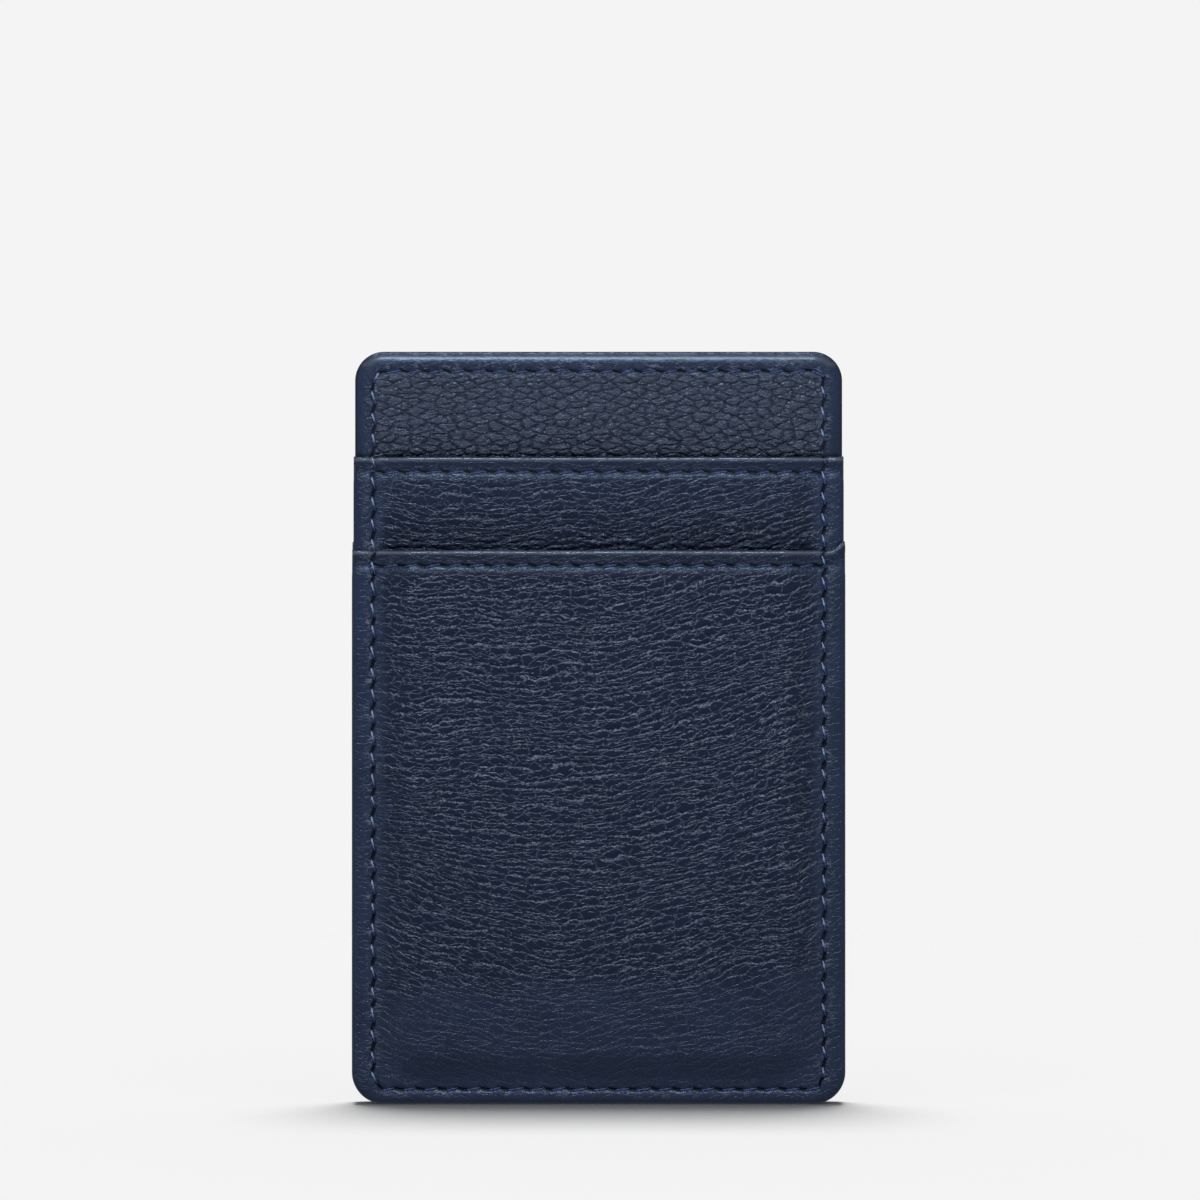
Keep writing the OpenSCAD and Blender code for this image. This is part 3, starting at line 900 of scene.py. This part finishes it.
def seam_piece(half, name, stitches, seams, node, material):
    """Copies the stitch along a row and joins the copies into one piece."""
    pattern = stitch_shape(seams.thread)
    shape = points_of(pattern.data)
    copies = []
    for a, b in stitches:
        z = (a[1] + b[1]) / 2
        index = FACING if z > seams.layers[UPPER].top else UPPER if z > seams.layers[LOWER].top else LOWER
        layer = seams.layers[index]
        ends = np.array([a, b])
        place, normal = layer.place(ends[:, 0], ends[:, 1])
        upright = abs(b[1] - a[1]) > abs(b[0] - a[0])
        proud = seams.thread * (0.35 if upright else 0.12)
        sunk = seam_relief(layer, seams, ends[:, 0], ends[:, 1]) + proud
        place += normal * sunk[:, None]
        along = place[1] - place[0]
        length = np.linalg.norm(along)
        along /= length
        up = normal.mean(0)
        up -= along * (up @ along)
        up /= np.linalg.norm(up)
        aside = np.cross(up, along)
        local = (place.mean(0) + np.outer(shape[:, 0] * (length + seams.thread * 1.2), along)
                 + np.outer(shape[:, 1], aside) + np.outer(shape[:, 2], up))
        copy = pattern.copy()
        copy.data = pattern.data.copy()
        bpy.context.collection.objects.link(copy)
        copy.data.vertices.foreach_set("co", in_frame(local, half).astype(np.float32).ravel())
        # rubbed holds where a highlight is painted: near the upper end of each upright stitch.
        upper_end = 0.2 if a[1] < b[1] else -0.2
        store(copy.data, "rubbed", upright * (1 - 3.0 * np.abs(shape[:, 0] - upper_end)))
        copies.append(copy)
    bpy.data.objects.remove(pattern)
    bpy.ops.object.select_all(action="DESELECT")
    for copy in copies:
        copy.select_set(True)
    bpy.context.view_layer.objects.active = copies[0]
    bpy.ops.object.join()
    piece = bpy.context.object
    piece.name = piece.data.name = name
    bpy.ops.object.mode_set(mode="EDIT")
    bpy.ops.mesh.select_all(action="SELECT")
    bpy.ops.mesh.normals_make_consistent(inside=False)
    bpy.ops.object.mode_set(mode="OBJECT")
    piece.data.materials.clear()
    piece.data.materials.append(material)
    bpy.ops.object.shade_smooth()
    return finish_piece(piece, "thread", node)


# ---------------------------------------------------------------- materials

class Nodes:
    """Short names for building a material's node tree."""

    def __init__(self, name):
        self.material = bpy.data.materials.get(name)
        self.made = self.material is None
        if self.made:
            self.material = bpy.data.materials.new(name)
            self.material.use_nodes = True
            self.tree = self.material.node_tree
            self.shader = self.tree.nodes["Principled BSDF"]

    def add(self, kind, **settings):
        node = self.tree.nodes.new(kind)
        for key, value in settings.items():
            setattr(node, key, value)
        return node

    def put(self, value, socket):
        if isinstance(value, bpy.types.NodeSocket):
            self.tree.links.new(value, socket)
        else:
            socket.default_value = value

    def math(self, operation, a, b=0.0, c=0.0):
        node = self.add("ShaderNodeMath", operation=operation)
        for value, socket in zip((a, b, c), node.inputs):
            self.put(value, socket)
        return node.outputs[0]

    def vector(self, operation, a, b=(0.0, 0.0, 0.0)):
        node = self.add("ShaderNodeVectorMath", operation=operation)
        self.put(a, node.inputs[0])
        self.put(b, node.inputs[1])
        return node.outputs["Vector"]

    def scaled(self, vector, scale, turn=0.0):
        node = self.add("ShaderNodeMapping")
        self.put(vector, node.inputs["Vector"])
        node.inputs["Scale"].default_value = scale
        node.inputs["Rotation"].default_value = (0.0, 0.0, turn)
        return node.outputs[0]

    def noise(self, vector, scale, detail=2.0, roughness=0.5, distortion=0.0):
        node = self.add("ShaderNodeTexNoise")
        self.put(vector, node.inputs["Vector"])
        node.inputs["Scale"].default_value = scale
        node.inputs["Detail"].default_value = detail
        node.inputs["Roughness"].default_value = roughness
        node.inputs["Distortion"].default_value = distortion
        return node

    def cells(self, vector, scale):
        node = self.add("ShaderNodeTexVoronoi")
        self.put(vector, node.inputs["Vector"])
        node.inputs["Scale"].default_value = scale
        return node.outputs["Distance"]

    def spread(self, value, low, high, to_low=0.0, to_high=1.0):
        node = self.add("ShaderNodeMapRange", interpolation_type="SMOOTHSTEP")
        for item, socket in zip((value, low, high, to_low, to_high), node.inputs):
            self.put(item, socket)
        return node.outputs[0]

    def mix(self, share, a, b, kind="RGBA"):
        node = self.add("ShaderNodeMix", data_type=kind)
        self.put(share, node.inputs["Factor"])
        self.put(a, node.inputs["A"])
        self.put(b, node.inputs["B"])
        return node.outputs["Result"]

    def blend(self, share, a, b):
        """The same as mix, for plain numbers."""
        return self.mix(share, a, b, "FLOAT")

    def valleys(self, value, width):
        """1 where a noise crosses its middle value, fading to 0 over the width."""
        return self.spread(self.math("ABSOLUTE", self.math("SUBTRACT", value, 0.5)), 0.0, width, 1.0, 0.0)

    def attribute(self, name):
        return self.add("ShaderNodeAttribute", attribute_name=name).outputs["Fac"]

    def bump(self, height, distance):
        node = self.add("ShaderNodeBump")
        node.inputs["Strength"].default_value = 1.0
        node.inputs["Distance"].default_value = distance
        self.put(height, node.inputs["Height"])
        return node.outputs["Normal"]


def colour(value, share=1.0):
    """A colour as a shader takes it, darker or lighter by a share."""
    return (*[min(1.0, c * share) for c in value], 1.0)


def crease_lines(n, flow, apart, width, arch):
    """Long creases across the leather, a set distance apart, each one a row of small arches.

    Gives the depth, which drops over the width going up and climbs back more slowly, and the
    lit lip where it drops.
    """
    arches = n.cells(n.scaled(flow, (0.9, 1.3, 1.0)), 1.0)
    fine = n.math("SUBTRACT", n.noise(flow, 2.3, 2.0, 0.6).outputs["Fac"], 0.5)
    drift = n.math("SUBTRACT", n.noise(n.scaled(flow, (0.2, 0.5, 1.0)), 1.0, 1.0).outputs["Fac"], 0.5)
    split = n.add("ShaderNodeSeparateXYZ")
    n.put(flow, split.inputs[0])
    up = n.math("MULTIPLY_ADD", arches, arch, split.outputs["Y"])
    up = n.math("MULTIPLY_ADD", fine, 0.46, up)
    up = n.math("MULTIPLY_ADD", drift, 1.5, up)
    turn = n.math("MULTIPLY", n.math("FRACT", n.math("DIVIDE", up, apart)), apart)
    drop = n.math("DIVIDE", turn, width)
    climb = n.math("SUBTRACT", 1.0, n.math("DIVIDE", n.math("SUBTRACT", turn, width), 0.4))
    depth = n.math("MAXIMUM", n.math("MINIMUM", drop, climb), 0.0)
    lip = n.spread(n.math("ABSOLUTE", n.math("SUBTRACT", turn, width * 0.5)), 0.0, width * 0.7, 1.0, 0.0)
    return depth, lip


def ragged_places(n, place):
    """Small random shifts that make lines ragged."""
    return n.vector("SUBTRACT", n.noise(place, 1.8, 1.0, 0.5).outputs["Color"], (0.5, 0.5, 0.5))


def net_lines(n, place, wide, tall, width):
    """Thin jagged lines between small flat diamonds, which are cells turned by an eighth."""
    ragged = n.vector("ADD", place, n.vector("MULTIPLY", ragged_places(n, place), (0.5, 0.4, 0.0)))
    node = n.add("ShaderNodeTexVoronoi", voronoi_dimensions="2D", feature="DISTANCE_TO_EDGE")
    n.put(n.scaled(ragged, (1 / wide, 1 / tall, 0.0), math.pi / 4), node.inputs["Vector"])
    node.inputs["Scale"].default_value = 1.0
    node.inputs["Randomness"].default_value = 0.85
    return n.spread(node.outputs["Distance"], 0.0, width, 1.0, 0.0)


def pebble_form(n, sheet):
    """Depth below the top of each rounded pebble, steep near the valleys round it."""
    wide = net_lines(n, n.vector("ADD", sheet, (5.0, 9.0, 0.0)), 2.3, 1.05, 0.24)
    small = net_lines(n, sheet, 1.4, 0.6, 0.18)
    return n.math("MULTIPLY_ADD", small, 0.35, wide)


def wrinkles(n, place, turn):
    """Fine short sharp wrinkles that all run one way, as depth from 0 to 1."""
    return n.valleys(n.noise(n.scaled(place, (0.8, 2.8, 1.0), turn), 1.0, 2.0, 0.55).outputs["Fac"], 0.25)


def crease_net(n, sheet, flow, creased):
    """Creases along the flow and the fine net between them: depth, the lips where a highlight is painted, and
    the net alone.
    """
    patchy = n.spread(n.noise(n.scaled(flow, (0.30, 0.8, 1.0)), 1.0, 2.0).outputs["Fac"], 0.42, 0.52)
    some = n.spread(n.noise(n.vector("ADD", flow, (7.0, 3.0, 0.0)), 0.8, 1.0).outputs["Fac"], 0.42, 0.52)
    beads = n.spread(n.noise(sheet, 2.6, 1.0).outputs["Fac"], 0.38, 0.56, 0.12, 1.0)
    long_depth, long_lip = crease_lines(n, flow, 1.35, 0.22, 0.42)
    short_depth, short_lip = crease_lines(n, n.vector("ADD", flow, (31.0, 17.0, 0.0)), 1.0, 0.18, 0.7)
    net = net_lines(n, flow, 2.3, 0.95, 0.09)
    depth = n.math("MULTIPLY_ADD", short_depth, n.math("MULTIPLY", some, 0.5),
                   n.math("MULTIPLY", long_depth, patchy))
    lips = n.math("MAXIMUM", n.math("MULTIPLY", long_lip, patchy),
                  n.math("MULTIPLY", short_lip, n.math("MULTIPLY", some, 0.7)))
    lips = n.math("MAXIMUM", lips, n.math("MULTIPLY", net, 0.44))
    lips = n.math("MULTIPLY", n.math("MULTIPLY", lips, creased), beads)
    return n.math("MULTIPLY", depth, creased), lips, net


def pucker_lines(n, sheet):
    """Short slanting puckers beside a seam."""
    ragged = n.vector("ADD", sheet, n.vector("MULTIPLY", ragged_places(n, sheet), (0.8, 0.5, 0.0)))
    return n.valleys(n.noise(n.scaled(ragged, (0.7, 2.1, 1.0), -0.35), 1.0, 1.0, 0.5).outputs["Fac"], 0.07)


def leather_material(name, pebbled, rubbed, scarred):
    """Dyed leather with fine wrinkles, puckers at the seams with a painted highlight, a painted highlight
    along turned edges and painted shade in valleys, creases and needle slits.

    Pebbled leather has rounded grain, scarred leather has creases along the hide's flow with a painted
    highlight on their lips, and rubbed says how much the dye has paled over its grain.
    """
    n = Nodes(name)
    if not n.made:
        return n.material
    tones = bpy.context.scene.holder_colours
    sheet = n.scaled(n.add("ShaderNodeUVMap", uv_map="sheet").outputs[0], (1 / UV_PER_MM,) * 3)
    flow = n.scaled(n.add("ShaderNodeUVMap", uv_map="grain").outputs[0], (1 / UV_PER_MM,) * 3)
    valley, creased = n.attribute("valley"), n.attribute("creased")
    slit, fold, puckered = n.attribute("slit"), n.attribute("fold"), n.attribute("puckered")
    cloudy = n.noise(sheet, 0.12, 3.0).outputs["Fac"]
    grainy = n.noise(sheet, 3.2, 1.0, 0.5).outputs["Fac"]
    scales, lips, net = crease_net(n, sheet, flow, creased)
    puckers = n.math("MULTIPLY", pucker_lines(n, sheet), puckered)
    form = n.math("MULTIPLY", pebble_form(n, sheet), pebbled)
    bunched = n.math("MULTIPLY", n.spread(creased, 0.05, 0.25), n.math("MULTIPLY_ADD", creased, 0.5, 0.8))
    form = n.math("MULTIPLY", form, bunched)

    # deep is the colour of the painted shade, and also of the darker speckle and the darker creased field.
    deep = tones.leather_dark_and_shade
    tone = n.mix(n.spread(cloudy, 0.35, 0.65), colour(tones.leather, 0.9), colour(tones.leather, 1.1))
    # Paler dye over the facing's rubbed grain.
    tone = n.mix(n.math("MULTIPLY", n.math("MINIMUM", creased, 0.25), 4.0 * rubbed), tone,
                 colour(tones.fold_highlight_and_pale_dye))
    tone = n.mix(n.spread(grainy, 0.35, 0.65, 0.0, 0.35), tone, colour(deep))
    # Darker over the creased field.
    tone = n.mix(n.spread(creased, 0.05, 0.76, 0.0, 0.80 * scarred), tone, colour(deep))
    # Painted shade inside the creases.
    tone = n.mix(n.math("MULTIPLY", scales, 0.6 * scarred), tone, colour(deep, 0.6))
    # Painted shade in the pebble valleys.
    tone = n.mix(n.spread(form, 0.45, 1.0, 0.0, 0.7), tone, colour(deep, 0.5))
    # Painted highlight on the lips of the creases and on the fine net.
    tone = n.mix(n.math("MULTIPLY", lips, 0.92 * scarred), tone, colour(tones.crease_highlight))
    # Painted highlight on the puckers beside the seams.
    tone = n.mix(n.math("MULTIPLY", puckers, 0.85), tone, colour(tones.crease_highlight))
    # Painted highlight on the mouths' folds and along the facing's top edge.
    tone = n.mix(n.math("MULTIPLY", fold, 0.85 - 0.45 * pebbled), tone, colour(tones.fold_highlight_and_pale_dye))
    # Painted shade where the valley attribute says.
    tone = n.mix(n.math("MULTIPLY", valley, 0.9), tone, colour(deep, 0.5))
    # Painted shade in the needle slits.
    tone = n.mix(n.spread(slit, 0.1, 0.7), tone, colour(deep, 0.1))
    n.put(tone, n.shader.inputs["Base Color"])

    rough = n.spread(grainy, 0.35, 0.65, 0.31, 0.40)
    rough = n.blend(fold, rough, 0.29 if pebbled else 0.22)
    rough = n.blend(slit, rough, 0.6)
    n.put(rough, n.shader.inputs["Roughness"])
    n.shader.inputs["Specular IOR Level"].default_value = 0.8
    n.shader.inputs["Specular Tint"].default_value = (0.54, 0.715, 1.0, 1.0)

    crossed = n.math("MAXIMUM", wrinkles(n, sheet, 0.75), wrinkles(n, sheet, -0.6))
    crossed = n.math("MULTIPLY", crossed, n.spread(n.noise(sheet, 0.8).outputs["Fac"], 0.4, 0.6, 0.3, 1.0))
    height = n.math("MULTIPLY", grainy, n.blend(fold, 0.03, 0.01))
    crossed = n.math("MULTIPLY", crossed, n.blend(fold, -0.012 - 0.048 * pebbled, -0.004))
    height = n.math("ADD", crossed, height)
    height = n.math("MULTIPLY_ADD", net, -0.035 * scarred, height)
    height = n.math("MULTIPLY_ADD", form, -0.16, height)
    height = n.math("MULTIPLY_ADD", scales, -0.13 * scarred, height)
    height = n.math("MULTIPLY_ADD", puckers, 0.10, height)
    n.put(n.bump(height, MM), n.shader.inputs["Normal"])
    return n.material


def thread_material():
    """Bonded polyester thread, a little glossy along its plies, with a painted highlight near the upper end
    of each upright stitch.
    """
    n = Nodes("twisted_thread")
    if not n.made:
        return n.material
    tones = bpy.context.scene.holder_colours
    place = n.add("ShaderNodeTexCoord").outputs["Object"]
    fibres = n.noise(n.scaled(place, (1 / MM,) * 3), 7.0, 3.0, 0.6).outputs["Fac"]
    tone = n.mix(n.spread(fibres, 0.3, 0.7), colour(tones.thread, 0.45), colour(tones.thread, 1.7))
    # Painted highlight near the upper end of each upright stitch.
    tone = n.mix(n.attribute("rubbed"), tone, colour(tones.thread_highlight))
    n.put(tone, n.shader.inputs["Base Color"])
    n.put(n.spread(fibres, 0.3, 0.7, 0.35, 0.6), n.shader.inputs["Roughness"])
    n.shader.inputs["Specular IOR Level"].default_value = 0.5
    n.put(n.bump(fibres, 0.00004), n.shader.inputs["Normal"])
    return n.material


def lining_material():
    """Fine plain-weave cloth."""
    n = Nodes("woven_lining")
    if not n.made:
        return n.material
    tones = bpy.context.scene.holder_colours
    place = n.add("ShaderNodeTexCoord").outputs["Object"]
    split = n.add("ShaderNodeSeparateXYZ")
    n.put(n.scaled(place, (1 / MM,) * 3), split.inputs[0])
    turns = 2 * math.pi * 2.8
    warp = n.math("SINE", n.math("MULTIPLY", split.outputs["X"], turns))
    weft = n.math("SINE", n.math("MULTIPLY", split.outputs["Z"], turns))
    weave = n.math("MULTIPLY", warp, weft)
    slubs = n.noise(n.scaled(place, (0.5 / MM, 0.5 / MM, 4 / MM)), 1.0, 2.0).outputs["Fac"]
    shade = n.math("ADD", n.math("MULTIPLY", weave, 0.25), slubs)
    tone = n.mix(n.spread(shade, 0.2, 0.9), colour(tones.lining, 0.5), colour(tones.lining, 1.6))
    n.put(tone, n.shader.inputs["Base Color"])
    n.put(n.spread(shade, 0.2, 0.9, 0.9, 0.7), n.shader.inputs["Roughness"])
    n.shader.inputs["Sheen Weight"].default_value = 0.25
    n.put(n.bump(shade, 0.00006), n.shader.inputs["Normal"])
    return n.material


def board_material():
    """Grey-brown bonded fibre board."""
    n = Nodes("fibre_board")
    if not n.made:
        return n.material
    tones = bpy.context.scene.holder_colours
    place = n.scaled(n.add("ShaderNodeTexCoord").outputs["Object"], (1 / MM,) * 3)
    fibres = n.noise(place, 1.6, 5.0, 0.65, 1.2).outputs["Fac"]
    flecks = n.cells(place, 0.9)
    tone = n.mix(n.spread(fibres, 0.3, 0.7), colour(tones.board, 0.7), colour(tones.board, 1.2))
    tone = n.mix(n.spread(flecks, 0.0, 0.12, 0.5, 0.0), tone, (0.05, 0.035, 0.02, 1.0))
    n.put(tone, n.shader.inputs["Base Color"])
    n.put(n.spread(fibres, 0.3, 0.7, 0.75, 0.95), n.shader.inputs["Roughness"])
    n.put(n.bump(fibres, 0.00005), n.shader.inputs["Normal"])
    return n.material


def floor_material(studio):
    """Pale matt floor that fades out into the backdrop."""
    n = Nodes("studio_floor")
    if not n.made:
        return n.material
    far = n.add("ShaderNodeVectorMath", operation="LENGTH")
    n.put(n.add("ShaderNodeTexCoord").outputs["Object"], far.inputs[0])
    n.shader.inputs["Base Color"].default_value = (studio.floor_albedo,) * 3 + (1.0,)
    n.shader.inputs["Roughness"].default_value = 1.0
    n.shader.inputs["Specular IOR Level"].default_value = 0.0
    n.put(n.spread(far.outputs["Value"], studio.floor_reach * 0.5, studio.floor_reach * 0.98, 1.0, 0.0),
          n.shader.inputs["Alpha"])
    return n.material


# ---------------------------------------------------------------- operators

def holder_plan(context):
    """The layers and seams that all pieces share."""
    scene = context.scene
    layers = []
    for index in range(len(LAYERS)):
        layers.append(Layer(index, scene.holder_shape, layers[-1] if layers else None))
    return layers, Seams(scene.holder_seams, layers)


class HOLDER_OT_facings(bpy.types.Operator):
    """Makes the grained facing leather of both halves"""
    bl_idname = "holder.facings"
    bl_label = "Facing leather"

    def execute(self, context):
        layers, seams = holder_plan(context)
        material = leather_material("pebbled_leather", pebbled=1.0, rubbed=0.34, scarred=0.0)
        for half in HALVES:
            leather_piece(half, FACING, layers, seams, material)
        return {"FINISHED"}


class HOLDER_OT_pockets(bpy.types.Operator):
    """Makes the upper and lower pocket leather of both halves"""
    bl_idname = "holder.pockets"
    bl_label = "Pocket leather"

    def execute(self, context):
        layers, seams = holder_plan(context)
        material = leather_material("creased_leather", pebbled=0.0, rubbed=0.0, scarred=1.0)
        for half in HALVES:
            for index in (UPPER, LOWER):
                leather_piece(half, index, layers, seams, material)
        return {"FINISHED"}


class HOLDER_OT_perimeter_seam(bpy.types.Operator):
    """Sews the closed seam round each half"""
    bl_idname = "holder.perimeter_seam"
    bl_label = "Perimeter seam"

    def execute(self, context):
        _, seams = holder_plan(context)
        for half in HALVES:
            seam_piece(half, f"{half}_perimeter_thread", seams.perimeter, seams,
                       f"{half}_perimeter_stitches", thread_material())
        return {"FINISHED"}


class HOLDER_OT_hem_seams(bpy.types.Operator):
    """Sews the seam along each mouth"""
    bl_idname = "holder.hem_seams"
    bl_label = "Hem seams"

    def execute(self, context):
        _, seams = holder_plan(context)
        for half in HALVES:
            for index, mouth in ((UPPER, "upper"), (LOWER, "lower")):
                seam_piece(half, f"{half}_{mouth}_hem_thread", seams.hem_rows[index], seams,
                           f"{half}_{mouth}_hem_stitches", thread_material())
        return {"FINISHED"}


class HOLDER_OT_inner_pieces(bpy.types.Operator):
    """Finishes the boards, linings and pocket floor seams, whose solids are shown as they are"""
    bl_idname = "holder.inner_pieces"
    bl_label = "Inner pieces"

    def execute(self, context):
        finishes = {"board": board_material, "upper_lining": lining_material,
                    "lower_lining": lining_material, "pocket_floor_stitches": thread_material}
        for half in HALVES:
            for part, finish in finishes.items():
                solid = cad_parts[f"{half}_{part}"]
                solid.data.materials.clear()
                solid.data.materials.append(finish())
        return {"FINISHED"}


class HOLDER_OT_studio(bpy.types.Operator):
    """Sets up the camera, floor, backdrop and soft light"""
    bl_idname = "holder.studio"
    bl_label = "Studio"

    def execute(self, context):
        studio = context.scene.holder_studio
        self.add_camera(context, studio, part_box("front_lower_pocket")[0].y)
        floor = self.add_floor(studio)
        self.add_backdrop(context, studio)
        for name, side in (("front", -1), ("rear", 1)):
            self.add_softbox(studio, name, side, floor)
            for hand in (-1, 1):
                self.add_fill(studio, f"{name}_fill_{'left' if hand == side else 'right'}", side, hand, floor)
        self.add_floor_light(studio, floor)
        context.scene.view_settings.view_transform = "Standard"
        return {"FINISHED"}

    def add_camera(self, context, studio, face_y):
        data = bpy.data.cameras.new("studio_camera")
        data.lens = studio.lens
        data.sensor_width = 36.0
        data.clip_start = 0.01
        camera = bpy.data.objects.new("studio_camera", data)
        context.collection.objects.link(camera)
        away = studio.frame_width * data.lens / data.sensor_width
        camera.location = (studio.eye_aside, face_y - away, studio.eye_height)
        camera.rotation_euler = (math.pi / 2, 0.0, 0.0)
        context.scene.camera = camera

    def add_floor(self, studio):
        bpy.ops.object.select_all(action="DESELECT")
        bpy.ops.mesh.primitive_circle_add(vertices=128, radius=studio.floor_reach, fill_type="NGON")
        floor = bpy.context.object
        floor.name = "studio_floor"
        floor.data.materials.append(floor_material(studio))
        floor.visible_diffuse = False
        floor.visible_glossy = False
        return floor

    def add_backdrop(self, context, studio):
        world = bpy.data.worlds.new("studio_backdrop")
        context.scene.world = world
        world.use_nodes = True
        tree = world.node_tree
        seen = tree.nodes["Background"]
        seen.inputs["Color"].default_value = (studio.backdrop,) * 3 + (1.0,)
        lit = tree.nodes.new("ShaderNodeBackground")
        lit.inputs["Color"].default_value = (1.0, 1.0, 1.0, 1.0)
        lit.inputs["Strength"].default_value = studio.dome
        path = tree.nodes.new("ShaderNodeLightPath")
        both = tree.nodes.new("ShaderNodeMixShader")
        tree.links.new(path.outputs["Is Camera Ray"], both.inputs[0])
        tree.links.new(lit.outputs[0], both.inputs[1])
        tree.links.new(seen.outputs[0], both.inputs[2])
        tree.links.new(both.outputs[0], tree.nodes["World Output"].inputs["Surface"])

    def add_light(self, name, kind, floor, floor_lit):
        """A light that lights everything but the floor, or the floor alone."""
        data = bpy.data.lights.new(name, kind)
        light = bpy.data.objects.new(name, data)
        bpy.context.collection.objects.link(light)
        lit = bpy.data.collections.new(name + "_lights")
        lit.objects.link(floor)
        lit.collection_objects[0].light_linking.link_state = "INCLUDE" if floor_lit else "EXCLUDE"
        light.light_linking.receiver_collection = lit
        light.visible_camera = False
        return light

    def add_softbox(self, studio, name, side, floor):
        """High soft light on one face of the holder, steep enough to rake its grain."""
        light = self.add_light(name + "_softbox", "AREA", floor, False)
        light.data.shape = "RECTANGLE"
        light.data.size, light.data.size_y = studio.softbox_width, studio.softbox_depth
        light.data.energy = studio.softbox_power
        light.location = (studio.softbox_side * side, studio.softbox_away * side, studio.softbox_height)
        self.aim(light, studio.eye_height)

    def add_fill(self, studio, name, side, hand, floor):
        """Weak light from low on one side, which opens up the parts that lean down."""
        light = self.add_light(name, "AREA", floor, False)
        light.data.shape = "SQUARE"
        aside, away, lower, size = 0.65, 0.54, 0.25, 0.4
        light.data.size = size
        light.data.energy = studio.fill_power
        light.visible_glossy = False
        light.location = (aside * hand, away * side, studio.eye_height - lower)
        self.aim(light, studio.eye_height)

    def aim(self, light, height):
        toward = Vector((0.0, 0.0, height)) - light.location
        light.rotation_euler = toward.to_track_quat("-Z", "Y").to_euler()

    def add_floor_light(self, studio, floor):
        """Soft light from behind the vertical, which gives the contact shadow in front of the foot."""
        light = self.add_light("floor_sun", "SUN", floor, True)
        light.data.angle = studio.shadow_softness
        light.rotation_euler.x = -studio.shadow_lean
        light.location.z = studio.softbox_height
        radiance = studio.backdrop / studio.floor_albedo - studio.dome
        light.data.energy = math.pi * radiance / math.cos(studio.shadow_lean)


class HOLDER_PT_panel(bpy.types.Panel):
    """Lists the steps that dress the holder"""
    bl_idname = "HOLDER_PT_panel"
    bl_label = "Card holder"
    bl_space_type = "VIEW_3D"
    bl_region_type = "UI"
    bl_category = "Card Holder"

    def draw(self, context):
        for group in (context.scene.holder_shape, context.scene.holder_seams,
                      context.scene.holder_colours, context.scene.holder_studio):
            box = self.layout.box()
            for name in group.__annotations__:
                box.prop(group, name)
        for operator in OPERATORS:
            self.layout.operator(operator.bl_idname)


OPERATORS = (HOLDER_OT_studio, HOLDER_OT_facings, HOLDER_OT_pockets, HOLDER_OT_perimeter_seam,
             HOLDER_OT_hem_seams, HOLDER_OT_inner_pieces)
GROUPS = {"holder_shape": HolderShape, "holder_seams": HolderSeams,
          "holder_colours": HolderColours, "holder_studio": HolderStudio}


def register():
    for group in GROUPS.values():
        bpy.utils.register_class(group)
    for operator in OPERATORS:
        bpy.utils.register_class(operator)
    bpy.utils.register_class(HOLDER_PT_panel)
    for name, group in GROUPS.items():
        setattr(bpy.types.Scene, name, PointerProperty(type=group))


def unregister():
    for name in GROUPS:
        delattr(bpy.types.Scene, name)
    bpy.utils.unregister_class(HOLDER_PT_panel)
    for operator in reversed(OPERATORS):
        bpy.utils.unregister_class(operator)
    for group in GROUPS.values():
        bpy.utils.unregister_class(group)


def main():
    register()
    bpy.ops.holder.studio()
    bpy.ops.holder.facings()
    bpy.ops.holder.pockets()
    bpy.ops.holder.perimeter_seam()
    bpy.ops.holder.hem_seams()
    bpy.ops.holder.inner_pieces()


if __name__ == "__main__":
    main()
